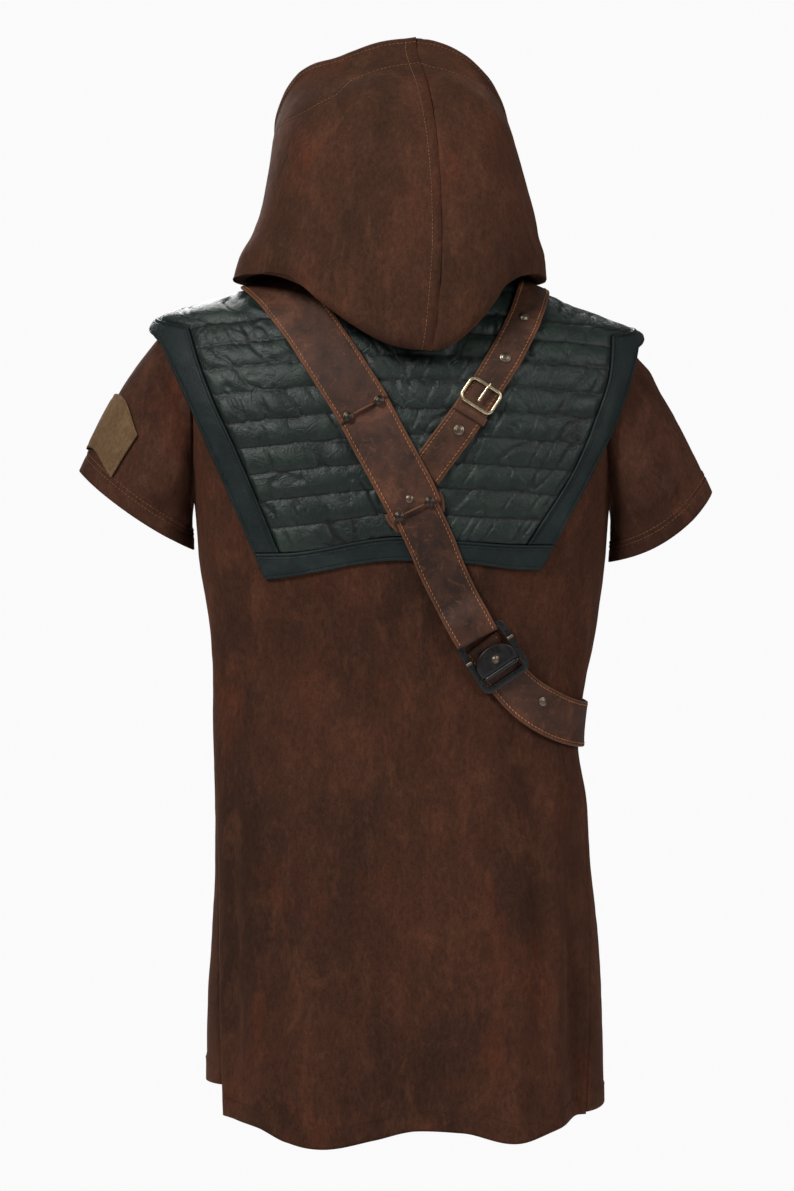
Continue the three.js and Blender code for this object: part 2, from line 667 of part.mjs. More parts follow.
// The quilting is a grid: rows follow the seams, columns run from its left edge to its right one.
function quiltPanel(face, across) {
  const levels = track(SEAMS, 'seam');
  const [bottom, last] = [levels(0), SEAMS.length - 1];
  const shares = steps(across);
  const at = (level, share) => lerp(level.left, level.right, share);
  const arch = (level) => level.middle - (level.left + level.right) / 2;
  const count = SEAMS[last].seam * ROWS_PER_CHANNEL;
  const seams = steps(count).map((t) => t * TOP_SEAM);
  const grid = seams.map((seam) => {
    const level = levels(seam);
    const edge = (side, z) => (seam >= RIDGE_SEAM ? ridgeAngle(side, face) : innerAngle(side, z, face));
    const from = edge(-1, level.left) + (face > 0 ? 0 : 2 * Math.PI);
    const to = edge(1, level.right);
    return shares.map((share) => {
      const crown = 4 * share * (1 - share);
      const footX = lerp(YOKE_SIDE.left[0].inX, YOKE_SIDE.right[0].inX, share);
      const foot = footLine(footX).inZ;
      if (seam === 0) return mantle.point(mantle.angleAtX(footX, foot, face), foot);
      const angle = lerp(from, to, share);
      if (face < 0) {
        const settle = (foot - at(bottom, share) - arch(bottom) * crown) * Math.max(0, 1 - seam / 2);
        return mantle.point(angle, at(level, share) + arch(level) * crown + settle);
      }
      const t = seam / TOP_SEAM;
      const rise = lerp(bottom.middle, FRONT_YOKE_TOP, t) - (level.left + level.right) / 2;
      const dip = rise * crown ** lerp(1, 7, t);
      return mantle.point(angle, at(level, share) + lerp(foot - at(bottom, share), dip, Math.min(4 * t, 1)));
    });
  });
  const normals = grid.map((row) => row.map((p) => mantle.normal(p)));
  const puff = (i, j) => {
    const inChannel = (i % ROWS_PER_CHANNEL) / ROWS_PER_CHANNEL;
    const padded = seams[i] < Math.floor(TOP_SEAM) && j > 0 && j < across;
    return padded ? QUILT_RISE * Math.sin(Math.PI * inChannel) ** 0.7 : 0;
  };
  return wall(shift(grid, normals, puff), shift(grid, normals, -YOKE_LEATHER));
}

place('yoke_back_quilt', quiltPanel(-1, 14), MATERIALS.yoke);
place('yoke_front_quilt', quiltPanel(1, 12), MATERIALS.yoke);

// A side band of the yoke, from its foot corner up to the shoulder ridge.
function sideBand(side, face) {
  const sign = side === 'left' ? -1 : 1;
  const rows = YOKE_SIDE[side];
  const top = rows[rows.length - 1];
  const outerLine = track(rows.map(({ outZ, outX }) => ({ outZ, outX })), 'outZ');
  const turning = steps(4).slice(1, 4).map((t) => 1 - t / BAND_ROWS);
  const shares = [...steps(BAND_ROWS), ...turning].sort((a, b) => a - b);
  const grid = shares.map((t) => steps(3).map((w) => {
    const zIn = lerp(rows[0].inZ, top.inZ, t);
    const zOut = lerp(rows[0].outZ, top.outZ, t);
    const inAngle = innerAngle(sign, zIn, face, SEAM_GAP * 1.6);
    const free = lerp(rows[0].outZ, top.outZ, 1 - 1 / BAND_ROWS);
    const level = Math.min(zOut, free);
    const turned = Math.max(0, (zOut - free) / (top.outZ - free));
    const outAngle = lerp(mantle.angleAtX(outerLine(level).outX, level, face), ridgeAngle(sign, face), turned);
    return mantle.point(lerp(inAngle, outAngle, w), lerp(zIn - 3 * SEAM_GAP * t, zOut, w));
  }));
  return bandWall(grid);
}

// The band along the foot of the yoke, narrower at its lower edge.
function footBand(face) {
  const ends = { inner: [-160, 169.5], outer: [-148, 155] };
  const grid = steps(16).map((t) => steps(2).map((w) => {
    const x = lerp(lerp(ends.inner[0], ends.outer[0], w), lerp(ends.inner[1], ends.outer[1], w), t);
    const z = lerp(footLine(x).inZ - SEAM_GAP, footLine(x).outZ, w);
    return mantle.point(mantle.angleAtX(x || 1e-6, z, face), z);
  }));
  return bandWall(grid);
}

function bandWall(grid) {
  const normals = grid.map((row) => row.map((p) => mantle.normal(p)));
  return wall(shift(grid, normals, BAND_RISE), shift(grid, normals, -YOKE_LEATHER));
}

for (const [face, name] of [[-1, 'back'], [1, 'front']]) {
  place(`yoke_${name}_band_left`, sideBand('left', face), MATERIALS.band);
  place(`yoke_${name}_band_right`, sideBand('right', face), MATERIALS.band);
  place(`yoke_${name}_band_foot`, footBand(face), MATERIALS.band);
}

// ---------------------------------------------------------------- harness
// A strap lies on the yoke's form: its middle line runs through the table's rows, and every
// point across it is laid on the form again.
function strap(table, pace = 20, across = 2) {
  const knots = table.map((row) => mantle.spot(row.face, row.x, row.at));
  const line = new THREE.CatmullRomCurve3(knots, false, 'centripetal');
  const count = Math.max(2, Math.round(line.getLength() / pace));
  const grades = track(table.map((row, i) => ({ i, lift: row.lift, width: row.width })), 'i');
  const stations = steps(count).map((t) => {
    const at = mantle.rest(line.getPoint(t));
    const along = line.getTangent(t);
    const side = along.cross(mantle.normal(at)).normalize();
    const grade = grades(t * (table.length - 1));
    return { at, side, grade };
  });
  const layer = (extra) => stations.map(({ at, side, grade }) => steps(across).map((w) => {
    const offset = (w - 0.5) * grade.width;
    return mantle.rest(at.clone().addScaledVector(side, offset), grade.lift + extra);
  }));
  return wall(layer(STRAP), layer(0));
}

for (const [name, table] of Object.entries(STRAPS)) {
  place(name, strap(table), MATERIALS.harness);
}
place('joint_backing', strap(JOINT_BACKING, 12), MATERIALS.harness);
place('buckle_keeper', strap(KEEPER, 5), MATERIALS.harness);

// ---------------------------------------------------------------- metal
// Sets a mesh on the form at x and a height: its own Z points out, turned by an angle about it.
function seat(mesh, face, x, at, lift, turn = 0) {
  const foot = mantle.spot(face, x, at);
  const out = mantle.normal(foot);
  const up = new THREE.Vector3(0, 0, 1).addScaledVector(out, -out.z).normalize();
  const side = up.clone().cross(out);
  const basis = new THREE.Matrix4().makeBasis(side, up, out);
  mesh.quaternion.setFromRotationMatrix(basis);
  mesh.rotateZ(THREE.MathUtils.degToRad(turn));
  mesh.position.copy(foot.addScaledVector(out, lift));
}

// A domed rivet head, closed underneath.
function dome(radius) {
  const height = radius * 0.5;
  const profile = [[0, 0], [radius, 0], [radius * 0.75, height * 0.75], [0, height]];
  const lathe = new THREE.LatheGeometry(profile.map(([x, y]) => new THREE.Vector2(x, y)), 10);
  lathe.rotateX(Math.PI / 2);
  lathe.deleteAttribute('normal');
  lathe.deleteAttribute('uv');
  return clean(mergeVertices(lathe, 1e-4));
}

// Drops triangles that have no area once equal points are merged.
function clean(geometry) {
  const kept = [];
  const index = geometry.index.array;
  for (let i = 0; i < index.length; i += 3) {
    const [a, b, c] = [index[i], index[i + 1], index[i + 2]];
    if (a !== b && b !== c && a !== c) kept.push(a, b, c);
  }
  geometry.setIndex(kept);
  geometry.computeVertexNormals();
  return geometry;
}

for (const [finish, table] of Object.entries(DOMES)) {
  table.forEach((row, i) => {
    const material = finish === 'dark' ? MATERIALS.black : MATERIALS.steel;
    const rivet = place(`rivet_${finish}_${i + 1}`, dome(row.radius), material);
    seat(rivet, row.face, row.x, row.at, row.lift + 0.3);
  });
}

// Outline of a rectangle with round corners.
function roundedOutline(target, wide, long, corner) {
  const [w, l] = [wide / 2, long / 2];
  target.moveTo(w - corner, -l);
  target.absarc(w - corner, -l + corner, corner, -Math.PI / 2, 0);
  target.absarc(w - corner, l - corner, corner, 0, Math.PI / 2);
  target.absarc(-w + corner, l - corner, corner, Math.PI / 2, Math.PI);
  target.absarc(-w + corner, -l + corner, corner, Math.PI, Math.PI * 1.5);
  target.closePath();
  return target;
}

// A flat ring cut from plate, for a buckle frame.
function plateFrame(wide, long, corner, bar, thick, curve) {
  const shape = roundedOutline(new THREE.Shape(), wide, long, corner);
  shape.holes.push(roundedOutline(new THREE.Path(), wide - 2 * bar, long - 2 * bar, Math.max(corner - bar, 1)));
  return extruded(shape, thick, curve);
}

function extruded(shape, thick, curve) {
  const options = { depth: thick, bevelEnabled: false, curveSegments: curve };
  const geometry = new THREE.ExtrudeGeometry(shape, options);
  geometry.deleteAttribute('normal');
  geometry.deleteAttribute('uv');
  return clean(mergeVertices(geometry, 1e-4));
}

// Round wire bent into a closed rectangle with round corners.
function wireFrame(wide, long, corner, radius) {
  const outline = roundedOutline(new THREE.Path(), wide - 2 * radius, long - 2 * radius, corner);
  const stations = outline.getPoints(3).slice(0, -1).filter((p, i, all) => {
    return i === 0 || p.distanceTo(all[i - 1]) > 0.01;
  });
  const sides = 6;
  const rings = stations.map((p, i) => {
    const past = stations[(i + stations.length - 1) % stations.length];
    const next = stations[(i + 1) % stations.length];
    const along = next.clone().sub(past).normalize();
    return steps(sides).slice(0, sides).map((t) => {
      const turn = 2 * Math.PI * t;
      const out = radius * Math.cos(turn);
      return new THREE.Vector3(p.x + along.y * out, p.y - along.x * out, radius * Math.sin(turn));
    });
  });
  const index = [];
  rings.forEach((_, i) => {
    const n = (i + 1) % rings.length;
    for (let j = 0; j < sides; j += 1) {
      const k = (j + 1) % sides;
      index.push(i * sides + j, n * sides + j, n * sides + k, i * sides + j, n * sides + k, i * sides + k);
    }
  });
  return solid(rings.flat(), index);
}

function brassBuckle() {
  const b = BRASS_BUCKLE;
  const frame = place('brass_frame', wireFrame(b.wide, b.long, b.corner, b.wire), MATERIALS.brass);
  seat(frame, -1, b.x, b.z, b.lift, b.turn);
  const prong = new THREE.CylinderGeometry(1.4, 1.7, b.long * 0.52, 8);
  prong.translate(0, b.long * 0.24, 0);
  const pin = place('brass_prong', prong, MATERIALS.brass);
  seat(pin, -1, b.x + 2, b.z - 1, b.lift + b.wire + 2.1, b.turn + 4);
}
brassBuckle();

// Side clasp: a black frame, a D-shaped catch plate with its lip, pins, a peg and a rivet.
function clasp() {
  const c = CLASP;
  const put = (name, geometry, material, x, y, lift, turn = 0) => {
    const mesh = place(name, geometry, material);
    seat(mesh, -1, c.x, c.z, c.lift + lift, c.turn);
    mesh.translateX(x);
    mesh.translateY(y);
    mesh.rotateZ(turn);
  };
  const frame = plateFrame(c.wide, c.long, c.corner, c.bar, c.thick, 5);
  put('clasp_frame', frame, MATERIALS.black, 0, 0, 0);
  const half = c.plateWide / 2;
  const catchShape = new THREE.Shape();
  catchShape.moveTo(-half, -c.plateLong / 2);
  catchShape.lineTo(half, -c.plateLong / 2);
  catchShape.lineTo(half, -c.plateLong / 2 + 8);
  catchShape.absellipse(0, -c.plateLong / 2 + 8, half, c.plateLong - 8, 0, Math.PI);
  catchShape.closePath();
  put('clasp_plate', extruded(catchShape, c.plateRise, 12), MATERIALS.black, 0, -1, c.thick + SEAM_GAP);
  const lip = new THREE.BoxGeometry(c.plateWide - 1, 5.5, 3.4);
  put('clasp_lip', lip, MATERIALS.black, 0, -c.plateLong / 2 - 4.2, c.thick + SEAM_GAP + 1.7);
  const rivetLift = c.thick + c.plateRise + 2 * SEAM_GAP;
  put('clasp_rivet', dome(4.5), MATERIALS.steel, 0, -3, rivetLift);
  const bar = new THREE.CylinderGeometry(1.8, 1.8, 8.5, 10);
  bar.rotateZ(Math.PI / 2);
  for (const sign of [-1, 1]) {
    put(`clasp_pin_${sign < 0 ? 'left' : 'right'}`, bar.clone(), MATERIALS.steel, sign * 27, 9, c.thick + 2.2);
  }
}
clasp();

export default tunic;
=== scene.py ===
# %% [markdown]
# # A hooded suede tunic with a quilted yoke and a leather harness
# The garment hangs in the form it has when it is worn. Its stiff construction comes from a packed
# model; this lesson adds what makes it look like suede, nappa and strap leather. Every piece is
# worked out from named sizes in millimetres, and turned into metres when its mesh is made.

# %% Load the fixed model
import json
import math

import bpy
import numpy as np
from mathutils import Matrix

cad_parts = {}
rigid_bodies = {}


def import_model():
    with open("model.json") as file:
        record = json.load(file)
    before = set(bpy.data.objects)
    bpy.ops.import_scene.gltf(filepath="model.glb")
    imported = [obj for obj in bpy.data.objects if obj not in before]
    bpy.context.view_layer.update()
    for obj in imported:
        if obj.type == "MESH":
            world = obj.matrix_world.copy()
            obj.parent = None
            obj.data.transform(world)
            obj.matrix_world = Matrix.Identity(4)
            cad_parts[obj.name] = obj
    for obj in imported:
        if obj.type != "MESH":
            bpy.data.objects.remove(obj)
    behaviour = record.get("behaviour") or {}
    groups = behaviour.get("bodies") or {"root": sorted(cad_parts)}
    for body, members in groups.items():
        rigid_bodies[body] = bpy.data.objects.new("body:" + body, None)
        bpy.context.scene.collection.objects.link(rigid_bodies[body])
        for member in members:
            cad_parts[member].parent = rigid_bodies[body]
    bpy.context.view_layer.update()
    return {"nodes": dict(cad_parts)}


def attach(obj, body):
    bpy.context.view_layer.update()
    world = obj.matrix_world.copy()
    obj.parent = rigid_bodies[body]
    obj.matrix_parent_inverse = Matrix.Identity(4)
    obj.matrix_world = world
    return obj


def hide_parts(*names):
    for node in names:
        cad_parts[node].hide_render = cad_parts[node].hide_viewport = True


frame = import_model()
MM = 0.001
print("frame:", len(frame["nodes"]), "pieces")

# %% [markdown]
# ## Stage
# A pale floor, a pale surrounding and three soft lamps. The camera stands behind the wearer at the
# height of the lower back, far away, so the garment is seen almost without perspective.

# %% Camera, lamps and floor
PICTURE = (794, 1191)
CAMERA_DISTANCE = 3200
CAMERA_HEIGHT = -372
CAMERA_SIDE = -3.4
FOCAL_PIXELS = 2818
SENSOR = 36
ROOM_LIGHT = 0.22
WALL_COLOUR = (0.963, 0.96, 0.962, 1)
LIGHT_COLOUR = (0.96, 0.975, 1.0, 1)
FLOOR_COLOUR = (0.93, 0.93, 0.94, 1)
FLOOR_HALF, FLOOR_LEVEL = 2.1, -1.52


def add_object(name, data):
    """A new object of the scene for a mesh, a lamp or a camera."""
    thing = bpy.data.objects.new(name, data)
    bpy.context.scene.collection.objects.link(thing)
    return thing


def add_camera():
    data = bpy.data.cameras.new("camera")
    data.sensor_fit = "VERTICAL"
    data.sensor_height = SENSOR
    data.lens = FOCAL_PIXELS * SENSOR / PICTURE[1]
    camera = add_object("camera", data)
    camera.location = (CAMERA_SIDE * MM, -CAMERA_DISTANCE * MM, CAMERA_HEIGHT * MM)
    camera.rotation_euler = (math.radians(90), 0, 0)
    bpy.context.scene.camera = camera


def add_lamp(name, place, aim, size, power):
    data = bpy.data.lights.new(name, "AREA")
    data.size = size
    data.energy = power
    lamp = add_object(name, data)
    lamp.location = place
    x, y, z = np.array(aim) - np.array(place)
    lamp.rotation_euler = (math.atan2(math.hypot(x, y), -z), 0, math.atan2(-x, y))


def add_room():
    """The camera sees a pale wall, and the garment is lit by it far more softly."""
    world = bpy.data.worlds.new("pale_room")
    world.use_nodes = True
    tree = world.node_tree
    seen, lit = tree.nodes["Background"], tree.nodes.new("ShaderNodeBackground")
    seen.inputs["Color"].default_value = WALL_COLOUR
    lit.inputs["Color"].default_value = LIGHT_COLOUR
    lit.inputs["Strength"].default_value = ROOM_LIGHT
    path, mix = tree.nodes.new("ShaderNodeLightPath"), tree.nodes.new("ShaderNodeMixShader")
    tree.links.new(path.outputs["Is Camera Ray"], mix.inputs[0])
    tree.links.new(lit.outputs[0], mix.inputs[1])
    tree.links.new(seen.outputs[0], mix.inputs[2])
    tree.links.new(mix.outputs[0], tree.nodes["World Output"].inputs[0])
    bpy.context.scene.world = world


def add_floor():
    mesh = bpy.data.meshes.new("floor")
    corners = [(FLOOR_HALF * x, FLOOR_HALF * y, FLOOR_LEVEL)
               for x, y in ((-1, -1), (1, -1), (1, 1), (-1, 1))]
    mesh.from_pydata(corners, [], [(0, 1, 2, 3)])
    floor = add_object("floor", mesh)
    paint = bpy.data.materials.new("floor_paint")
    paint.use_nodes = True
    shader = paint.node_tree.nodes["Principled BSDF"]
    shader.inputs["Base Color"].default_value = FLOOR_COLOUR
    shader.inputs["Roughness"].default_value = 0.9
    mesh.materials.append(paint)


add_camera()
add_room()
add_floor()
add_lamp("key", (-2.0, -2.4, 1.9), (0, 0, -0.3), 1.1, 155)
add_lamp("fill", (2.4, -2.2, 0.9), (0, 0, -0.4), 1.6, 60)
add_lamp("front", (-0.6, 3.0, 1.6), (0, 0, -0.3), 2.0, 120)
bpy.context.scene.view_settings.view_transform = "Standard"

# %% [markdown]
# ## Tables and smooth curves
# A pattern cutter measures a body at a few heights and fairs a smooth line through them. `curve`
# does the same: it reads a table with named columns and never swings past its own values.


# %% Curves through tables
def table(header, rows):
    columns = zip(header.split(), zip(*rows))
    return {name: np.array(column, float) for name, column in columns}


def curve(columns, by):
    order = np.argsort(columns[by])
    at = columns[by][order]
    names = [name for name in columns if name != by]
    values = np.array([columns[name][order] for name in names])
    rises = np.diff(values, axis=1) / np.diff(at)
    before = np.concatenate([rises[:, :1], rises], axis=1)
    after = np.concatenate([rises, rises[:, -1:]], axis=1)
    total = before + after
    safe = np.where(np.abs(total) < 1e-12, 1, total)
    slopes = np.where(before * after <= 0, 0, 2 * before * after / safe)

    def read(value):
        x = np.clip(np.asarray(value, float), at[0], at[-1])
        i = np.clip(np.searchsorted(at, x, side="right") - 1, 0, len(at) - 2)
        span = at[i + 1] - at[i]
        t = (x - at[i]) / span
        out = {}
        for k, name in enumerate(names):
            start = values[k][i] * (1 + 2 * t) * (1 - t) ** 2
            end = values[k][i + 1] * t * t * (3 - 2 * t)
            lean = span * t * (1 - t) * (slopes[k][i] * (1 - t) - slopes[k][i + 1] * t)
            out[name] = start + end + lean
        return out

    return read


def lerp(a, b, t):
    return a + (b - a) * t


def ease(t):
    t = np.clip(t, 0, 1)
    return t * t * (3 - 2 * t)


# %% [markdown]
# ## The body's form
# The rings below are the same that the solids were made from. A ring has its own half widths to
# the left and right, its depth behind and in front, and a squareness: 2 is an ellipse, 3 is boxy.
# `rest` lays any point on the form and lifts it, which is how one layer of leather lies on another.

# %% Rings of the body and of the yoke over it
TORSO = table("z left right back front square seam", [
    (0, 75, 75, 68, 70, 2.0, 0), (-10, 106, 99, 76, 78, 2.0, 0), (-25, 153, 135, 84, 87, 2.0, 0),
    (-45, 215, 182, 93, 94, 2.05, 0), (-63, 257, 222, 101, 101, 2.2, 0),
    (-78, 259, 250, 107, 107, 2.4, 0), (-120, 256, 256, 121, 120, 2.9, 0),
    (-200, 243, 244, 131, 131, 3.2, 0), (-272, 232, 236, 130, 133, 3.1, 0),
    (-332, 227, 232, 125, 130, 2.8, 0), (-377, 220, 226, 118, 125, 2.6, 0),
    (-422, 214, 220, 112, 121, 2.5, 0), (-468, 212, 210, 107, 118, 2.45, -6),
    (-536, 211, 202, 107, 119, 2.4, -18), (-604, 210, 211, 118, 125, 2.4, -30),
    (-672, 210, 215, 128, 132, 2.4, -42), (-763, 214, 224, 139, 141, 2.4, -60),
    (-854, 218, 229, 149, 149, 2.4, -74), (-980, 219, 231, 160, 156, 2.4, -90),
])
YOKE_EASE = table("z left right depth", [
    (0, 9, 9, 3), (-25, 10, 10, 3.6), (-45, 12, 12, 3.8), (-63, 23, 16, 4.2), (-78, 27, 25, 4.6),
    (-100, 28, 25, 4.8), (-145, 24, 22, 4.4), (-215, 12, 12, 3.2), (-300, 7, 7, 2.6),
    (-360, 4, 4, 2.6), (-980, 3, 3, 2.6),
])
torso_ring = curve(TORSO, "z")
yoke_ease = curve(YOKE_EASE, "z")


def mantle_ring(z):
    ring, more = torso_ring(z), yoke_ease(z)
    ring["left"] = ring["left"] + more["left"]
    ring["right"] = ring["right"] + more["right"]
    ring["back"] = ring["back"] + more["depth"]
    ring["front"] = ring["front"] + more["depth"]
    return ring


class Form:
    def __init__(self, ring_at):
        self.ring_at = ring_at

    def point(self, bearing, z):
        """The skin point seen from the middle at a bearing: 0 in front, +90 degrees right."""
        ring = self.ring_at(z)
        east, north = np.sin(bearing), np.cos(bearing)
        wide = np.where(east < 0, ring["left"], ring["right"])
        deep = np.where(north < 0, ring["back"], ring["front"])
        n = ring["square"]
        reach = ((np.abs(east) / wide) ** n + (np.abs(north) / deep) ** n) ** (-1 / n)
        return np.stack([reach * east, reach * north, z + 0 * bearing], axis=-1)

    def excess(self, p):
        ring = self.ring_at(p[..., 2])
        x = np.abs(p[..., 0]) / np.where(p[..., 0] < 0, ring["left"], ring["right"])
        y = np.abs(p[..., 1]) / np.where(p[..., 1] < 0, ring["back"], ring["front"])
        return x ** ring["square"] + y ** ring["square"] - 1

    def gradient(self, p):
        step = 0.05
        parts = [self.excess(p + step * axis) - self.excess(p - step * axis) for axis in np.eye(3)]
        return np.stack(parts, axis=-1) / (2 * step)

    def normal(self, p):
        return unit(self.gradient(p))

    def rest(self, p, lift=0.0):
        q = np.array(p, float)
        for _ in range(9):
            slope = self.gradient(q)
            q = q - slope * (self.excess(q) / (slope * slope).sum(-1))[..., None]
        return q + self.normal(q) * np.asarray(lift)[..., None]

    def bearing_at_x(self, x, z, face):
        ring = self.ring_at(z)
        wide = np.where(x < 0, ring["left"], ring["right"])
        share = np.clip(np.abs(x) / wide, 0, 1)
        y = (1 - share ** ring["square"]) ** (1 / ring["square"])
        deep = ring["back"] if face < 0 else ring["front"]
        return np.arctan2(x, face * y * deep)

    def bearing_at_y(self, y, z, side):
        ring = self.ring_at(z)
        deep = np.where(y < 0, ring["back"], ring["front"])
        share = np.clip(np.abs(y) / deep, 0, 1)
        x = (1 - share ** ring["square"]) ** (1 / ring["square"])
        wide = ring["left"] if side < 0 else ring["right"]
        return np.arctan2(side * x * wide, y)

    def spot(self, face, x, at):
        """A skin point on the back (-1) or front (1) at a height, or on top (0) at a depth."""
        if face:
            x, at = np.float64(x), np.float64(at)
            return self.point(self.bearing_at_x(x, at, face), at)
        low, high = -200.0, 0.0
        for _ in range(40):
            middle = (low + high) / 2
            outside = self.excess(np.array([x, at, middle], float)) > 0
            low, high = (low, middle) if outside else (middle, high)
        return np.array([x, at, low], float)


def unit(v):
    return v / np.maximum(np.linalg.norm(v, axis=-1, keepdims=True), 1e-12)


torso = Form(torso_ring)
mantle = Form(mantle_ring)
chest = torso_ring(-200)
print("body: width at the chest", round(float(chest["left"] + chest["right"])), "mm")

# %% [markdown]
# ## Cloth walls
# A cloth wall is two grids of points, outside and inside, joined at their edges. Its UV map is in
# metres of cloth, unless the piece brings its own. Unevenness comes from `cloud`, a smooth random
# field with a fixed seed, so each run gives the same garment.


# %% Grid helpers
def steps(grid, axis=0):
    """The lengths of the steps from point to point along one axis of a grid or a line."""
    return np.linalg.norm(np.diff(grid, axis=axis), axis=-1)


def run_of(grid, axis=0):
    """The length run along an axis, from 0 at its first point."""
    lengths = np.cumsum(steps(grid, axis), axis=axis)
    return np.concatenate([0 * lengths.take([0], axis), lengths], axis=axis)


def bell(x, wide):
    return np.exp(-(x / wide) ** 2)


def ring_quads(index):
    """Quads between rows of point numbers, where each row closes into a ring."""
    around = np.roll(index, -1, axis=-1)
    corners = [index[..., :-1, :], around[..., :-1, :], around[..., 1:, :], index[..., 1:, :]]
    return np.stack(corners, -1).reshape(-1, 4)


def grid_normals(grid, closed=False):
    if closed:
        along = np.roll(grid, -1, axis=1) - np.roll(grid, 1, axis=1)
    else:
        along = np.gradient(grid, axis=1)
    down = np.gradient(grid, axis=0)
    return unit(np.cross(down, along))


LATTICE = 64


def cloud(x, y, size, seed):
    """A smooth random field from -1 to 1. size is the width of its lumps, as one number or two."""
    wide, tall = size if isinstance(size, tuple) else (size, size)
    lattice = np.random.RandomState(seed).uniform(-1, 1, (LATTICE, LATTICE))
    u, v = np.asarray(x) / wide + 17.3, np.asarray(y) / tall + 31.7
    i, j = np.floor(u).astype(int), np.floor(v).astype(int)
    s, t = ease(u - i), ease(v - j)
    a, b, c, d = (lattice[(i + right) % LATTICE, (j + up) % LATTICE]
                  for up in (0, 1) for right in (0, 1))
    return lerp(lerp(a, b, s), lerp(c, d, s), t)


def make_object(name, points, faces, uvs=None):
    """A mesh from points in millimetres, four-sided faces and one UV pair for each point."""
    mesh = bpy.data.meshes.new(name)
    points = np.asarray(points, np.float32) * MM
    faces = np.asarray(faces, np.int32)
    mesh.vertices.add(len(points))
    mesh.vertices.foreach_set("co", points.ravel())
    sides = faces.shape[1]
    mesh.loops.add(faces.size)
    mesh.loops.foreach_set("vertex_index", faces.ravel())
    mesh.polygons.add(len(faces))
    mesh.polygons.foreach_set("loop_start", np.arange(0, faces.size, sides, dtype=np.int32))
    mesh.polygons.foreach_set("use_smooth", np.ones(len(faces), bool))
    mesh.update(calc_edges=True)
    if uvs is not None:
        layer = mesh.uv_layers.new(name="cloth")
        layer.data.foreach_set("uv", np.asarray(uvs, np.float32)[faces.ravel()].ravel())
    mesh.validate()
    return add_object(name, mesh)


def cloth_lengths(grid):
    """UVs in metres: the run along the rows and down the columns, measured on the cloth."""
    u, v = run_of(grid, 1), run_of(grid)
    u = u - u.mean(axis=1, keepdims=True)
    v = v[:, [grid.shape[1] // 2]] + 0 * v
    return np.stack([u, v], axis=-1) * MM


CUTS = {}


def flat_cut(skin, closed):
    """The size a panel was cut to, in metres, and its area: its own runs, laid flat."""
    if closed:
        skin = np.concatenate([skin, skin[:, :1]], axis=1)
    wide, long = steps(skin, 1).sum(axis=1).max(), np.median(steps(skin).sum(axis=0))
    first, second = skin[1:, 1:] - skin[:-1, :-1], skin[1:, :-1] - skin[:-1, 1:]
    area = np.linalg.norm(np.cross(first, second), axis=-1).sum() / 2
    return wide * MM, long * MM, min(area, wide * long) * MM * MM


def wall(name, outer, inner, closed=False, uv=None):
    rows, cols = outer.shape[:2]
    CUTS[name] = flat_cut(outer, closed)
    uv = cloth_lengths(outer) if uv is None else uv
    index = np.arange(rows * cols).reshape(rows, cols)
    if closed:
        index = np.concatenate([index, index[:, :1]], axis=1)
    half = rows * cols
    a, b, c, d = index[:-1, :-1], index[:-1, 1:], index[1:, 1:], index[1:, :-1]
    skin = np.stack([a, d, c, b], -1).reshape(-1, 4)
    lining = np.stack([a, b, c, d], -1).reshape(-1, 4) + half
    edges = [(index[0], 1), (index[-1], -1)]
    if not closed:
        edges += [(index[:, 0], -1), (index[:, -1], 1)]
    rims = []
    for line, turn in edges:
        p, q = (line[:-1], line[1:])[::turn]
        rims.append(np.stack([p, q, q + half, p + half], -1))
    faces = np.concatenate([skin, lining, *rims])
    points = np.concatenate([outer.reshape(-1, 3), inner.reshape(-1, 3)])
    uvs = np.concatenate([uv.reshape(-1, 2)] * 2)
    if signed_volume(points, faces) < 0:
        faces = faces[:, ::-1]
    return make_object(name, points, faces, uvs)


def signed_volume(points, faces):
    a, b, c, d = (points[faces[:, i]] for i in range(4))
    return float((a * np.cross(b, c)).sum() + (a * np.cross(c, d)).sum())


def even_rows(form, lines, count):
    """Rows of skin points, evenly spaced. A line is two bearings and height(share) between them."""
    dense = np.linspace(0, 1, 260)
    rows = []
    for start, end, height in lines:
        fine = form.point(lerp(start, end, dense), height(dense))
        run = run_of(fine)
        share = np.interp(np.linspace(0, run[-1], count), run, dense)
        rows.append(form.point(lerp(start, end, share), height(share)))
    return np.array(rows)


# %% [markdown]
# ## Thread
# Sewing is real geometry here: each stitch is a short rounded bar that dips into the leather at
# both ends. `sew` walks along a line at a fixed stitch length and joins all its stitches in one
# mesh, because a thousand separate objects would be slow.


# %% Stitches
def along_line(at, run, values):
    """Values along a line, read at the lengths asked for."""
    return np.stack([np.interp(at, run, column) for column in values.T], -1)


def walk(line, pace):
    """Even steps along a line of points: places, directions, and how far along they lie."""
    run = run_of(line)
    count = max(int(run[-1] / pace), 1)
    at = (np.arange(count) + 0.5) * run[-1] / count
    points, ahead, behind = (along_line(at + step, run, line) for step in (0, 0.5, -0.5))
    return points, unit(ahead - behind), at, run


THREAD_SIDES = 5
STITCH = table("station swell height", [
    (-0.5, 0.35, -0.9), (-0.36, 0.9, 0.25), (0, 1, 0.7), (0.36, 0.9, 0.25), (0.5, 0.35, -0.9),
])


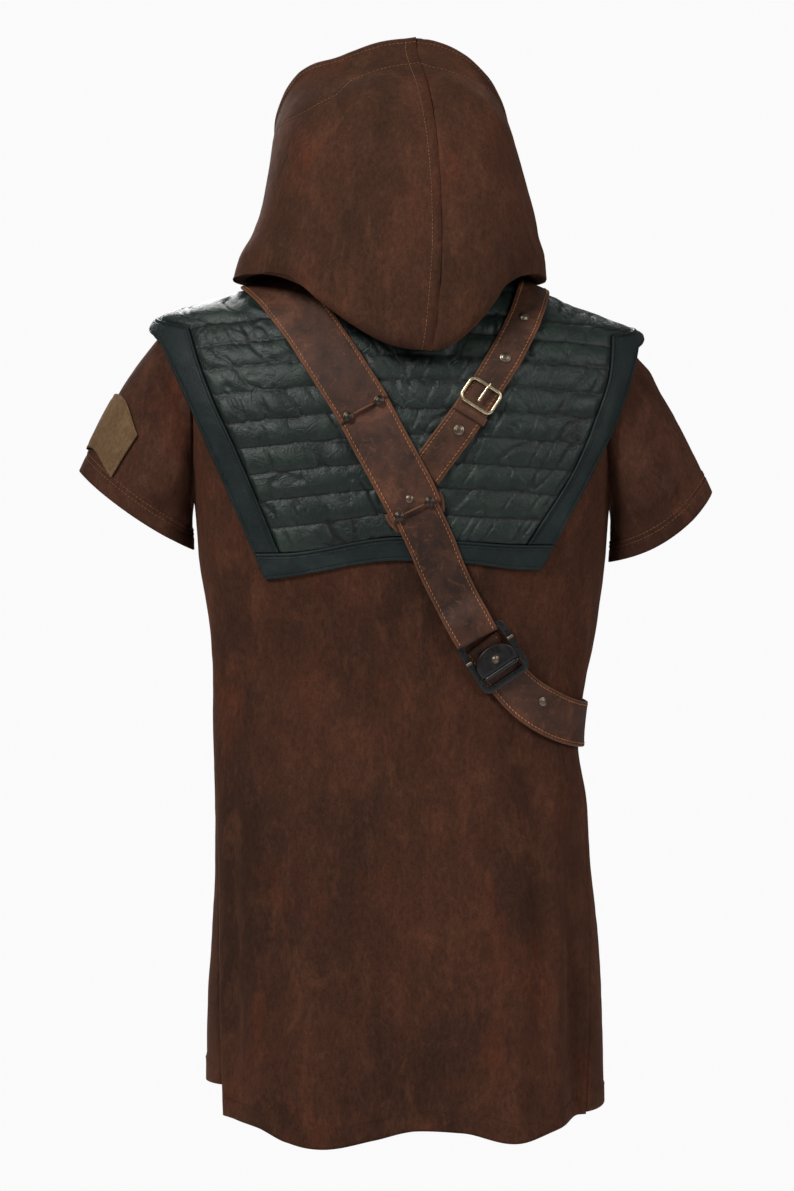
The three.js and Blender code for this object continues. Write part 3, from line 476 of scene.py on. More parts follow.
def sew(name, lines, length=3.2, gap=1.4, thick=0.42, slant=0.12, rise=0.25):
    """Stitches along each (line, normals) pair, as one mesh."""
    turn = np.arange(THREAD_SIDES) / THREAD_SIDES * 2 * np.pi
    stations, swell, height = (STITCH[key][:, None] for key in ("station", "swell", "height"))
    points, faces, start = [], [], 0
    for line, normals in lines:
        at, along, places, run = walk(line, length + gap)
        out = unit(along_line(places, run, normals))
        side = unit(np.cross(along, out))
        along = unit(along + slant * side)
        side = unit(np.cross(along, out))
        centre = at[:, None] + along[:, None] * (stations * length)
        centre = centre + out[:, None] * (rise + height * thick * 0.6)
        ring = (side[:, None, None] * np.cos(turn)[:, None]
                + out[:, None, None] * np.sin(turn)[:, None])
        body = centre[:, :, None] + ring * (swell[:, None] * thick)
        index = np.arange(body[..., 0].size).reshape(body.shape[:3]) + start
        points.append(body.reshape(-1, 3))
        faces.append(ring_quads(index))
        start += index.size
    return make_object(name, np.concatenate(points), np.concatenate(faces))


# %% [markdown]
# ## Finishes
# Suede is a brushed hide: matt, with a soft sheen where the nap catches light and slow, smoky
# changes of colour. `Paint` builds such a finish from noises of several scales. All mixing is
# between colours on the surface, never by where the viewer stands.


# %% Material helpers
class Paint:
    """A material, with short names for the nodes that colour it."""

    def __init__(self, name):
        self.material = bpy.data.materials.new(name)
        self.material.use_nodes = True
        self.tree = self.material.node_tree
        self.shader = self.tree.nodes["Principled BSDF"]
        self.place = self.node("ShaderNodeTexCoord", {})["Object"]

    def feed(self, node, inputs):
        """Gives inputs their numbers, their colours or the outputs of other nodes."""
        for key, value in inputs.items():
            socket = node.inputs[key]
            if isinstance(value, bpy.types.NodeSocket):
                self.tree.links.new(value, socket)
            else:
                short = isinstance(value, tuple) and len(value) < len(socket.default_value)
                socket.default_value = (*value, 1) if short else value

    def node(self, kind, inputs, **settings):
        node = self.tree.nodes.new(kind)
        for key, value in settings.items():
            setattr(node, key, value)
        self.feed(node, inputs)
        return node.outputs

    def noise(self, vector, scale, detail, roughness, distortion=0):
        return self.node("ShaderNodeTexNoise", {
            "Vector": vector, "Scale": scale, "Detail": detail, "Roughness": roughness,
            "Distortion": distortion})["Fac"]

    def stretch(self, value, low, high, to_low=0, to_high=1):
        numbers = (value, low, high, to_low, to_high)
        return self.node("ShaderNodeMapRange", dict(enumerate(numbers)))[0]

    def mix(self, share, first, second, mode="MIX"):
        return self.node("ShaderNodeMix", {0: share, 6: first, 7: second},
                         data_type="RGBA", blend_type=mode)[2]

    def math(self, operation, first, second=0):
        return self.node("ShaderNodeMath", {0: first, 1: second}, operation=operation)[0]

    def bump(self, height, distance, strength, **after):
        inputs = {"Height": height, "Distance": distance, "Strength": strength, **after}
        return self.node("ShaderNodeBump", inputs)["Normal"]

    def uv(self):
        """The two parts of the UV map."""
        return self.node("ShaderNodeSeparateXYZ", {0: self.node("ShaderNodeUVMap", {})["UV"]})

    def finish(self, colour, roughness, normal, specular, **more):
        self.feed(self.shader, {"Base Color": colour, "Roughness": roughness, "Normal": normal,
                                "Specular IOR Level": specular, **more})
        return self.material


def suede_finish(name, deep, main, worn, redness=0.0):
    """Brushed hide. deep, main and worn are its colours from the nap's shadow to rubbed tips."""
    deep, main, worn = srgb(*deep), srgb(*main), srgb(*worn)
    p = Paint(name)
    hang = p.node("ShaderNodeMapping", {"Vector": p.place, "Scale": (1, 1, 0.5)})["Vector"]
    slow = p.noise(hang, 6, 5, 0.66, 0.3)
    patchy = p.noise(hang, 34, 7, 0.74, 0.5)
    flecks = p.noise(hang, 260, 4, 0.7, 0.3)
    nap = p.noise(p.place, 1000, 3, 0.7)
    tone = p.mix(p.stretch(slow, 0.38, 0.6), deep, main)
    tone = p.mix(p.stretch(patchy, 0.5, 0.74, 0, 0.5), tone, worn)
    tone = p.mix(p.stretch(patchy, 0.44, 0.26, 0, 0.5), tone, deep)
    if redness:
        rust = p.noise(hang, 14, 5, 0.66, 0.4)
        red = tuple(c * f for c, f in zip(worn, (1.25, 0.82, 0.72)))
        tone = p.mix(p.stretch(rust, 0.56, 0.74, 0, redness), tone, red)
    for grain, low, high in ((flecks, 0.72, 1.26), (nap, 0.66, 1.32)):
        fine = p.mix(p.stretch(grain, 0.3, 0.7), (low,) * 3, (high,) * 3)
        tone = p.mix(1, tone, fine, "MULTIPLY")
    normal = p.bump(nap, 0.0005, 0.6, Normal=p.bump(flecks, 0.0008, 0.35))
    sheen = {"Sheen Weight": 0.1, "Sheen Roughness": 0.45,
             "Sheen Tint": tuple(min(1, 6 * c) for c in worn)}
    return p.finish(tone, p.stretch(patchy, 0.3, 0.7, 0.98, 0.8), normal, 0.08, **sheen)


def leather_finish(name, deep, main, worn, gloss, pebble=1500, relief=0.0004, edge=None, dip=None,
                   shine=0.14):
    """Smooth hide with a pebbled grain. By its UV map, edge lightens a strap's cut sides, and dip
    is a colour of painted shade for low places, while high ones are rubbed, where V is the height
    of the padding."""
    deep, main, worn = srgb(*deep), srgb(*main), srgb(*worn)
    p = Paint(name)
    slow = p.noise(p.place, 20, 6, 0.68, 0.5)
    scuffs = p.noise(p.place, 90, 6, 0.76, 1.5)
    cells = p.node("ShaderNodeTexVoronoi", {"Vector": p.place, "Scale": pebble},
                   feature="DISTANCE_TO_EDGE")
    grain = p.stretch(cells["Distance"], 0, 0.22)
    tone = p.mix(p.stretch(slow, 0.36, 0.6), deep, main)
    tone = p.mix(p.stretch(slow, 0.56, 0.76, 0, 0.7), tone, worn)
    tone = p.mix(p.stretch(scuffs, 0.54, 0.78, 0, 0.7), tone, worn)
    tone = p.mix(p.stretch(grain, 0, 1, 0.35, 0), tone, deep)
    normal = p.bump(p.noise(p.place, 60, 5, 0.65, 0.7), 0.002, 0.35)
    if edge:
        off = p.math("ABSOLUTE", p.math("SUBTRACT", p.uv()[0], 0.5))
        uneven = p.math("ADD", off, p.stretch(scuffs, 0.3, 0.7, -0.02, 0.02))
        tone = p.mix(p.stretch(uneven, 0.44, 0.5, 0, 0.8), tone, srgb(*edge))
    if dip:
        height = p.uv()[1]
        # Painted shade: the low seam grooves of the padding are darkened towards the dip colour.
        tone = p.mix(p.stretch(height, 0.3, 0.02), tone, srgb(*dip))
        rubbed = p.math("MULTIPLY", p.stretch(height, 0.75, 1),
                        p.stretch(scuffs, 0.4, 0.65, 0, 0.7))
        tone = p.mix(rubbed, tone, worn)
        ridged = p.math("ABSOLUTE", p.math("SUBTRACT", p.noise(p.place, 40, 3, 0.5, 1.2), 0.5))
        normal = p.bump(p.stretch(ridged, 0, 0.07), 0.001, 0.28, Normal=normal)
    normal = p.bump(grain, relief, 0.5, Normal=normal)
    return p.finish(tone, p.stretch(scuffs, 0.3, 0.75, gloss, gloss + 0.2), normal, shine)


def metal_finish(name, main, tarnish, gloss, metallic=1.0, shine=0.5):
    p = Paint(name)
    slow = p.noise(p.place, 140, 5, 0.65, 0.8)
    tone = p.mix(p.stretch(slow, 0.5, 0.7), srgb(*main), srgb(*tarnish))
    normal = p.bump(p.noise(p.place, 900, 3, 0.6), 0.0002, 0.15)
    rough = p.stretch(slow, 0.35, 0.7, gloss, gloss + 0.25)
    return p.finish(tone, rough, normal, shine, Metallic=metallic)


def srgb(red, green, blue):
    """The linear colour of a 0 to 255 screen colour."""
    parts = [v / 255 for v in (red, green, blue)]
    return tuple(v / 12.92 if v <= 0.04045 else ((v + 0.055) / 1.055) ** 2.4 for v in parts)


# %% [markdown]
# Each finish names its colours from a shadowed fold to a rubbed high place, as they look on a
# screen. Suede is the dullest, waxed strap leather has a little gloss, and metal has the most.

# %% Make the finishes
SUEDE_BODY = suede_finish("brown_suede_body", (42, 26, 18), (60, 35, 24), (86, 51, 33), 0.3)
SUEDE_SLEEVE = suede_finish("brown_suede_sleeve", (46, 27, 19), (64, 39, 28), (80, 50, 36), 0.5)
SUEDE_HOOD = suede_finish("brown_suede_hood", (45, 29, 20), (63, 38, 27), (87, 53, 36), 0.4)
SUEDE_PATCH = suede_finish("tan_suede_patch", (76, 57, 38), (92, 72, 51), (108, 86, 63))
NAPPA = {"pebble": 520, "relief": 0.00025}
BELT = {"pebble": 700, "relief": 0.0002}
# The quilt's dip colour is painted shade for the grooves along its seams.
QUILT_LEATHER = leather_finish("green_nappa_quilted", (14, 23, 19), (22, 32, 27), (41, 52, 45),
                               0.34, dip=(7, 11, 9), shine=0.24, **NAPPA)
BAND_LEATHER = leather_finish("slate_nappa_band", (14, 22, 21), (21, 30, 29), (38, 46, 43),
                              0.42, shine=0.15, **NAPPA)
STRAP_LEATHER = leather_finish("waxed_strap_leather", (40, 26, 20), (71, 44, 32), (112, 72, 50),
                               0.46, edge=(98, 62, 42), **BELT)
NARROW_LEATHER = leather_finish("tan_strap_leather", (42, 27, 19), (71, 44, 31), (110, 72, 48),
                                0.46, edge=(102, 66, 44), **BELT)
SEWN_ORANGE = leather_finish("tan_waxed_thread", (138, 86, 50), (172, 112, 68), (192, 136, 90), 0.6)
SEWN_TAN = leather_finish("dull_tan_thread", (104, 70, 48), (130, 92, 64), (150, 110, 80), 0.7)
SEWN_DARK = leather_finish("brown_thread", (46, 30, 24), (62, 42, 33), (80, 56, 44), 0.7)
SEWN_GREEN = leather_finish("slate_thread", (8, 12, 11), (13, 18, 16), (24, 30, 28), 0.7)
BRASS = metal_finish("worn_brass", (196, 180, 148), (118, 98, 70), 0.2)
STEEL = metal_finish("antiqued_steel", (108, 95, 82), (58, 49, 42), 0.3)
BRONZE = metal_finish("dark_bronze", (66, 58, 51), (34, 29, 26), 0.32)
BLACK = metal_finish("black_lacquer", (15, 13, 12), (24, 20, 18), 0.24, metallic=0, shine=0.3)
print("finishes:", len(bpy.data.materials))


def dress(piece, node, material, slot, *more_nodes):
    """Gives a piece its finish and lets it stand for its node of the fixed model."""
    piece.data.materials.append(material)
    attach(piece, "root")
    if node:
        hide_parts(node, *more_nodes)


# %% [markdown]
# ## Body panels
# The body of a tunic like this is cut as a back and a front, joined at the shoulders and down the
# sides, with short vents at the hem. Large soft folds come from the same lines as in the solid;
# slack hide adds smaller dents between them. A grid with rows that follow the shoulder, the
# armhole and then the skirt keeps the cut edges smooth.

# %% Folds, creases and hems
FOLDS = table("side x0 z0 x1 z1 wide high", [
    (-1, -128, -400, -150, -960, 26, 5), (-1, -95, -560, -92, -970, 34, 15),
    (-1, -20, -600, -10, -965, 30, -8), (-1, 30, -520, 36, -975, 36, -13),
    (-1, 128, -560, 136, -975, 34, 15), (-1, 168, -560, 196, -960, 16, -6),
    (1, -120, -420, -132, -930, 34, 11), (1, -40, -520, -46, -930, 30, -9),
    (1, 40, -470, 52, -930, 34, 10), (1, 140, -440, 150, -930, 30, -8),
])
CREASES = table("side x0 z0 x1 z1 wide high", [
    (-1, -150, -345, -168, -500, 7, 1.6), (-1, -172, -380, -120, -470, 8, -1.6),
    (-1, -130, -420, -185, -560, 9, 1.5), (-1, -60, -420, -120, -620, 11, -1.8),
    (-1, 60, -470, 10, -610, 10, -1.6), (-1, 120, -540, 60, -690, 12, 1.8),
    (-1, 175, -545, 120, -640, 9, -1.7), (-1, 122, -470, 166, -790, 16, -5),
    (-1, 160, -500, 184, -860, 12, 5), (-1, 160, -660, 144, -1040, 16, -5),
    (-1, 184, -690, 170, -1060, 12, 5), (-1, 188, -600, 200, -1080, 8, -4.5),
    (-1, -180, -500, -142, -1060, 14, 5), (-1, -196, -420, -182, -1080, 9, -4.5),
    (-1, -158, -620, -112, -1060, 16, -4.5),
    (-1, -190, -560, -172, -830, 10, 1.6), (-1, -40, -650, -58, -900, 12, 1.4),
    (1, -150, -360, -90, -480, 10, -1.6), (1, 90, -520, 150, -640, 10, 1.6),
    (1, -30, -420, 40, -520, 12, -1.4),
])
BACK_HEM = table("x z", [
    (-205, -946), (-160, -951), (-130, -965), (-88, -970), (-30, -961), (25, -952), (80, -954),
    (132, -966), (190, -950), (215, -945),
])
FRONT_HEM = table("x z", [(-222, -912), (0, -936), (232, -943)])
hem_line = {-1: curve(BACK_HEM, "x"), 1: curve(FRONT_HEM, "x")}
HEM_ENDS = (-212, 220)
ARM_TOP = {-1: -63, 1: -78}
ARM_BOTTOM, ARMHOLE_HALF = -272.0, 80
NECK_DROP = 60
VENT_TOP, VENT_GAP, SEAM_GAP = -770, 1.0, 0.3
SUEDE_WALL, HEM_TURN = 1.6, 1.4
HEM_DEEP, HEM_SEAM = 24, 3.5
PANEL_ROWS, PANEL_ACROSS = {"shoulder": 16, "armhole": 50, "skirt": 150}, 124


def lines_on(rows, face):
    """Each fold or crease on one face: its number, its two ends, its width and its height."""
    for k in np.flatnonzero(rows["side"] == face):
        yield (k, *(rows[key][k] for key in ("x0", "z0", "x1", "z1", "wide", "high")))


def folds_at(rows, face, x, z):
    """Height of the soft folds: each runs down a line and fades in over its length."""
    height = np.zeros_like(x)
    for _, x0, z0, x1, z1, wide, high in lines_on(rows, face):
        t = (z - z0) / (z1 - z0)
        height += high * ease(t) * bell(x - lerp(x0, x1, t), wide)
    return height


def creases_at(rows, face, x, z, sway=6.0):
    """Short creases: deepest half way along, and gone at both ends."""
    height = np.zeros_like(x)
    for k, x0, z0, x1, z1, wide, high in lines_on(rows, face):
        long = math.hypot(x1 - x0, z1 - z0)
        t = ((x - x0) * (x1 - x0) + (z - z0) * (z1 - z0)) / long ** 2
        off = ((x - x0) * (z1 - z0) - (z - z0) * (x1 - x0)) / long
        off = off + sway * np.sin(3.1 * t + k)
        height += high * ease(t * 3) * ease((1 - t) * 3) * bell(off, wide)
    return height


# %% [markdown]
# Each panel is one wall from the neck, over the shoulder, to the hem. There the hide is turned up
# and stitched, so its face stands a little higher and dips along the stitches.

# %% Make the two body panels
def panel_rows(face):
    """The rows of one panel, from the neck to the hem: their end bearings and their heights."""
    neck = -NECK_DROP if face > 0 else 0
    corners = [float(hem_line[face](x)["z"]) for x in HEM_ENDS]
    rows = []
    for t in np.linspace(0, 1, PANEL_ROWS["shoulder"])[:-1]:
        ends = [ARM_TOP[side] * t for side in (-1, 1)]
        rows.append((*ends, 0.0, neck * (1 - t * 0.72), None))
    for t in np.linspace(0, 1, PANEL_ROWS["armhole"]):
        turn = math.pi * t
        ends = [lerp(ARM_BOTTOM, ARM_TOP[side], 0.5 + 0.5 * math.cos(turn)) for side in (-1, 1)]
        sink = neck * 0.28 * max(0.0, 1 - 12 * t / 5)
        rows.append((*ends, face * ARMHOLE_HALF * math.sin(turn), sink, None))
    for t in np.linspace(0, 1, PANEL_ROWS["skirt"])[1:]:
        rows.append((*(lerp(ARM_BOTTOM, corner, t) for corner in corners), None, 0.0, t))
    lines = []
    for left, right, depth, sink, skirt in rows:
        bearings = []
        for side, z in ((-1, left), (1, right)):
            y = float(torso_ring(z)["seam"]) if depth is None else depth
            room = face * VENT_GAP * ease((VENT_TOP - z) / 12) / 2 / float(torso_ring(z)["left"])
            bearings.append(float(torso.bearing_at_y(y, z, side)) - side * room)

        def height(share, a=left, b=right, sink=sink, skirt=skirt):
            if skirt is None:
                return lerp(a, b, share) + sink * (1 - (2 * share - 1) ** 2) ** 9
            return lerp(ARM_BOTTOM, hem_line[face](lerp(*HEM_ENDS, share))["z"], skirt)

        lines.append((bearings[0] + (2 * math.pi if face < 0 else 0), bearings[1], height))
    return lines


def shape_panel(face, across):
    grid = even_rows(torso, panel_rows(face), across)
    x, z = grid[..., 0], grid[..., 2]
    above_hem = z - hem_line[face](x)["z"]
    slack = ease((-z - 250) / 150)
    rise = folds_at(FOLDS, face, x, z) + creases_at(CREASES, face, x, z)
    rise += (0.5 + 0.9 * slack) * cloud(x, z, (46, 110), 11 + face)
    rise += 0.45 * cloud(x, z, (19, 34), 21 + face) + 0.2 * cloud(x, z, (8, 11), 31 + face)
    turned = ease((HEM_DEEP - above_hem) / 2.0)
    rise += HEM_TURN * turned - 1.1 * bell(above_hem - HEM_DEEP + HEM_SEAM, 1.3)
    rise += 0.5 * turned * cloud(x, 0 * z, 13, 5)
    edge = np.minimum(np.arange(across), across - 1 - np.arange(across))[None] / 3
    return grid, torso.normal(grid), rise * ease(0.25 + edge), above_hem


def contour(skin, out, field, level):
    """Where a field on the grid passes a level, column by column: a line and its normals."""
    points, normals = [], []
    for j in range(skin.shape[1]):
        column = field[:, j] - level
        crossing = np.flatnonzero((column[:-1] > 0) & (column[1:] <= 0))
        if len(crossing):
            i = crossing[-1]
            t = column[i] / (column[i] - column[i + 1])
            points.append(lerp(skin[i, j], skin[i + 1, j], t))
            normals.append(lerp(out[i, j], out[i + 1, j], t))
    return np.array(points), unit(np.array(normals))


hem_sewing = []
for face, word in ((-1, "back"), (1, "front")):
    grid, out, rise, above_hem = shape_panel(face, PANEL_ACROSS)
    outer = grid + out * rise[..., None]
    piece = wall(f"body_{word}", outer, outer - out * SUEDE_WALL)
    dress(piece, f"{word}_panel", SUEDE_BODY, "body_suede")
    line, normals = contour(outer, out, above_hem, HEM_DEEP - HEM_SEAM)
    hem_sewing.append((line[2:-2], normals[2:-2]))
    print("panel", word, "grid:", outer.shape[:2])
hem_thread = sew("hem_thread", hem_sewing, length=3.4, thick=0.3, slant=0.0)
dress(hem_thread, None, SEWN_DARK, "body_suede")

# %% [markdown]
# ## Sleeves
# A short sleeve is a tube set into the armhole. Its head follows the armhole's oval, and its hem is
# a wider, flatter oval that hangs off the shoulder. Each line along the sleeve is a quadratic
# curve from head to hem, so the cloth swells over the shoulder and falls straight below it.

# %% Make the sleeves
SLEEVE = {
    -1: {"outer": (-363, -230), "under": (-235, -320), "depth": 74, "dip": 6, "swell": 22},
    1: {"outer": (351, -254), "under": (238, -334), "depth": 74, "dip": 15, "swell": 14},
}
SLEEVE_ROWS, SLEEVE_ROUND = 64, 96
SLEEVE_SEAMS = (4, 9)


def signed_power(value, exponent):
    return np.sign(value) * np.abs(value) ** exponent


def sleeve_points(side, s, turn):
    """s runs from the armhole (0) to the hem (1); turn goes round from the top by the back."""
    hem = SLEEVE[side]
    z = lerp(ARM_BOTTOM, ARM_TOP[side], 0.5 + 0.5 * np.cos(turn))
    y = -ARMHOLE_HALF * np.sin(turn)
    start = torso.point(torso.bearing_at_y(y, z, side), z)
    low = (0.5 - 0.5 * np.cos(turn)) ** 0.7
    start = start + torso.normal(start) * lerp(-0.2, 2.6, low)[..., None]
    start[..., 0] += 1.2 * side
    outer, under = (np.array([hem[k][0], 0, hem[k][1]], float) for k in ("outer", "under"))
    middle, reach = (outer + under) / 2, (outer - under) / 2
    down = unit(np.array([reach[2] * side, 0, -abs(reach[0])]))
    end = middle + reach * signed_power(np.cos(turn), 0.9)[..., None]
    end[..., 1] = -hem["depth"] * signed_power(np.sin(turn), 0.9)
    end = end + down * (hem["dip"] * np.maximum(0, np.sin(turn)) ** 2)[..., None]
    bend = (start + end) / 2
    top = (0.5 + 0.5 * np.cos(turn)) ** 2
    bend[..., 2] += hem["swell"] * top
    bend[..., 0] += side * hem["swell"] * 0.4 * top
    bend[..., 1] *= 1 + 0.14 * np.abs(np.sin(turn))
    s = s[..., None]
    return lerp(lerp(start, bend, s), lerp(bend, end, s), s)


SLEEVE_CREASES = table("side x0 z0 x1 z1 wide high", [
    (-1, -269, -108, -236, -182, 9, -4), (-1, -285, -100, -262, -160, 10, 3),
    (-1, -272, -270, -232, -306, 7, -3), (-1, -305, -240, -238, -268, 9, 3),
    (-1, -262, -170, -232, -250, 8, 2.6), (1, 288, -94, 268, -158, 10, 3),
    (1, 276, -120, 240, -236, 9, -4), (1, 327, -229, 245, -290, 9, 3),
    (1, 300, -180, 250, -230, 8, -2.6),
])


def shape_sleeve(side):
    s, turn = np.meshgrid(np.linspace(0, 1, SLEEVE_ROWS),
                          np.arange(SLEEVE_ROUND) / SLEEVE_ROUND * 2 * np.pi, indexing="ij")
    grid = sleeve_points(side, s, turn)
    out = grid_normals(grid, closed=True)
    out *= np.sign((out * (grid - grid.mean(axis=1, keepdims=True))).sum())
    above_hem = (1 - s) * steps(grid).sum(axis=0)
    seed = 40 + side
    wrap = np.minimum(turn, 2 * np.pi - turn) / (2 * np.pi) * 460
    rise = 1.5 * ease(s * 3) * cloud(wrap, above_hem, (44, 95), seed)
    rise += 0.45 * cloud(wrap, above_hem, (15, 30), seed + 4)
    rise += 0.2 * cloud(wrap, above_hem, (7, 9), seed + 8)
    pull = bell(turn - 1.9, 0.34) + 0.8 * bell(turn - 2.6, 0.22)
    rise += 2.2 * pull * np.sin(np.pi * s) ** 1.5 * np.sin(9 * (turn + 0.8 * s))
    behind = ease(-grid[..., 1] / 20)
    rise += behind * creases_at(SLEEVE_CREASES, side, grid[..., 0], grid[..., 2], sway=3)
    rise += HEM_TURN * ease((HEM_DEEP - above_hem) / 2)
    rise -= sum(bell(above_hem - HEM_DEEP + inset, 1.2) for inset in SLEEVE_SEAMS)
    return grid, out, rise * ease(s * 8), above_hem


sleeve_lines = []
for side, hand in ((-1, "left"), (1, "right")):
    grid, out, rise, above_hem = shape_sleeve(side)
    outer = grid + out * rise[..., None]
    piece = wall(f"sleeve_{hand}_suede", outer, outer - out * SUEDE_WALL, closed=True)
    dress(piece, f"sleeve_{hand}", SUEDE_SLEEVE, "sleeve_suede")
    for inset in SLEEVE_SEAMS:
        line, normals = contour(outer, out, above_hem, HEM_DEEP - inset)
        sleeve_lines.append((np.vstack([line, line[:1]]), np.vstack([normals, normals[:1]])))
sleeve_thread = sew("sleeve_thread", sleeve_lines, length=3.2, thick=0.26, slant=0.0)
dress(sleeve_thread, None, SEWN_TAN, "sleeve_suede")
print("sleeve hems:", len(sleeve_lines), "rows of stitches")

# %% [markdown]
# A plain tan patch is wrapped round the outside of the left sleeve and stitched down at its edges.
# It takes its points from the sleeve's own surface, a little higher, so it can't cut through it.

# %% Make the sleeve patch
PATCH = {"low": 0.87, "high": 0.54, "back": 1.16, "front": -0.4, "lift": 1.9, "thick": 1.5}
PATCH_LONG, PATCH_WIDE = 55, 120
t, w = np.meshgrid(np.linspace(0, 1, 40), np.linspace(0, 1, 66), indexing="ij")
s = lerp(PATCH["high"], PATCH["low"], t) + 0.02 * np.sin(7 * w)
turn = lerp(PATCH["front"], PATCH["back"], w)
grid = sleeve_points(-1, s, turn)
out = grid_normals(grid)
out *= np.sign((out * (grid - sleeve_points(-1, s, turn + np.pi))).sum())
edge = np.minimum(np.minimum(t, 1 - t) * PATCH_LONG, np.minimum(w, 1 - w) * PATCH_WIDE)
rise = PATCH["lift"] + PATCH["thick"] - 0.9 * bell(edge - 4, 1.4)
rise += 0.35 * cloud(w * PATCH_WIDE, t * PATCH_LONG, (14, 18), 71) - 0.5 * np.exp(-edge / 1.1)
outer = grid + out * rise[..., None]
patch = wall("tan_patch", outer, grid + out * PATCH["lift"])
dress(patch, "sleeve_patch", SUEDE_PATCH, "patch_suede")
patch_edges = (np.s_[3, 3:-3], np.s_[-4, 3:-3], np.s_[3:-3, 3], np.s_[3:-3, -4])
patch_thread = sew("patch_thread", [(outer[line], out[line]) for line in patch_edges],
                   length=2.8, thick=0.3, slant=0.0)
dress(patch_thread, None, SEWN_TAN, "patch_suede")
print("patch grid:", outer.shape[:2])

# %% [markdown]
# ## Hood
# The hood is two halves sewn along a seam over the crown. It hangs a little unevenly, so the table
# has columns for the left and the right. Below, the hide folds under in a soft roll and goes on
# down to the neckline; in front, the turned brim stands open. Each row of the table is one arch,
# from the crown seam by the side to the chin.

# %% Make the hood
HOOD = table("cx cy cz lx ly lz rx ry rz ey ez fall sag l_arc r_arc press", [
    (0, -69, 2.2, -76, 0, 2.2, 76, 0, 2.2, 102, -57.5, 2, 4, 0.88, 0.88, 0),
    (8, -94, -8, -118, -2, 5, 112, -2, 2, 107, -60, 3, 4, 0.88, 0.88, 0),
    (22, -126, -62, -160, -4, -5, 138, -4, -8, 112, -62, 4.5, 4.6, 0.88, 0.88, 0),
    (33, -148, -106, -178, -6, -17, 156, -6, -17, 116, -61, 6, 5.4, 0.88, 0.88, 0),
    (37, -159, -93, -190, -7, -16, 165, -7, -15, 120, -53, 6, 4.6, 0.88, 0.88, 0),
    (42, -161, -46, -183, -6, 8, 163, -6, 9, 120, -42, 4, 2.2, 0.88, 0.88, 0),
    (45, -157, 10, -169, -2, 34, 156, -2, 32, 118, -33, 2.6, 1.9, 0.88, 0.88, 0),
    (44, -151, 60, -160, 6, 60, 152, 6, 56, 116, -26, 1.8, 1.7, 0.88, 0.88, 0),
    (41, -142, 110, -154, 18, 88, 145, 18, 82, 115, -21, 1.2, 1.5, 0.86, 0.88, 0),
    (36, -120, 157, -150, 34, 112, 138, 34, 106, 115, -17, 1, 1.35, 0.82, 0.88, 0),
    (29, -86, 197, -147, 50, 133, 134, 50, 125, 115, -13, 1, 1.25, 0.78, 0.92, 4),
    (23, -53, 222, -145, 63, 147, 131, 62, 138, 115, -10, 1, 1.2, 0.75, 1, 8),
    (19, -35, 239, -144, 73, 156, 128, 72, 147, 116, -7, 1, 1.2, 0.75, 1.06, 10),
    (18, -18, 256, -144, 82, 162, 127, 80, 152, 116, -4, 1, 1.2, 0.75, 1.06, 10),
])
HOOD["step"] = np.arange(len(HOOD["cx"]), dtype=float)
hood_row = curve(HOOD, "step")
CHIN_HALF = 9
SIDE_SHARE = 0.6
HOOD_CREASES = table("side x0 z0 x1 z1 wide high", [
    (-1, -18, 62, 3, -14, 6, -4.1), (-1, -60, 14, -4, -42, 9, 3.7), (-1, -2, 70, 36, 56, 3, 1.9),
    (-1, 8, 46, 40, 34, 3.2, -2), (-1, 2, 10, 38, 20, 3, 1.9), (-1, -160, -4, -86, -50, 9, -3.7),
    (-1, -120, 176, -96, 60, 16, 3.1), (-1, -60, 90, -52, 0, 14, -2.7), (-1, 30, 4, 38, -90, 5, 2),
    (1, 144, -22, 108, -52, 6, -4.4), (1, 76, 196, 122, 132, 10, 3.7), (1, 52, 66, 84, 40, 4, 2),
    (1, 50, 30, 92, -6, 6, -3.1), (1, 122, 90, 130, 0, 12, 3.1), (1, 60, 150, 74, 40, 14, -2.7),
])
BRIM_LINE = {
    -1: table("t step", [(0, 11.05), (0.055, 10.9), (0.14, 10.6), (0.195, 9.95), (0.335, 9.65),
                         (0.53, 10.3), (0.8, 10.7), (1, 10.9)]),
    1: table("t step", [(0, 11), (0.04, 10.8), (0.17, 10.7), (0.315, 11.5), (0.6, 11.3),
                        (1, 10.9)]),
}
LAP_WIDE, LAP_RISE = 8, {-1: 1.5, 1: 0.3}
BRIM_DEEP = 11
HOOD_TOP = len(HOOD["cx"]) - 1
HOOD_MIDDLE = (0, 30, 60)


def hood_points(side, step, t):
    """t runs from the crown seam (0) by the side (0.6) to the chin (1)."""
    row = hood_row(step)
    sx, sy, sz = (row["l" + k] if side < 0 else row["r" + k] for k in "xyz")
    seam_x = row["cx"] + side * 0.02
    turn = np.pi / 2 * np.clip(t / SIDE_SHARE, 0, 1)
    fall = np.maximum(np.cos(turn), 0)
    arc, press = (row["l_arc"], row["press"]) if side < 0 else (row["r_arc"], 0)
    arch = sz + (row["cz"] - sz) * fall ** row["fall"]
    back = np.stack([seam_x + (sx - seam_x) * np.sin(turn) ** arc,
                     sy + (row["cy"] - sy) * fall ** 0.88,
                     arch - press * np.exp(-((turn - 0.45) / 0.25) ** 2)], -1)
    turn = np.pi / 2 * np.clip((t - SIDE_SHARE) / (1 - SIDE_SHARE), 0, 1)
    chin_x = side * CHIN_HALF
    ahead = np.stack([chin_x + (sx - chin_x) * np.maximum(np.cos(turn), 0) ** 1.1,
                      sy + (row["ey"] - sy) * np.sin(turn) ** 0.95,
                      sz + (row["ez"] - sz) * np.sin(turn) ** row["sag"]], -1)
    return np.where((t <= SIDE_SHARE)[..., None], back, ahead)


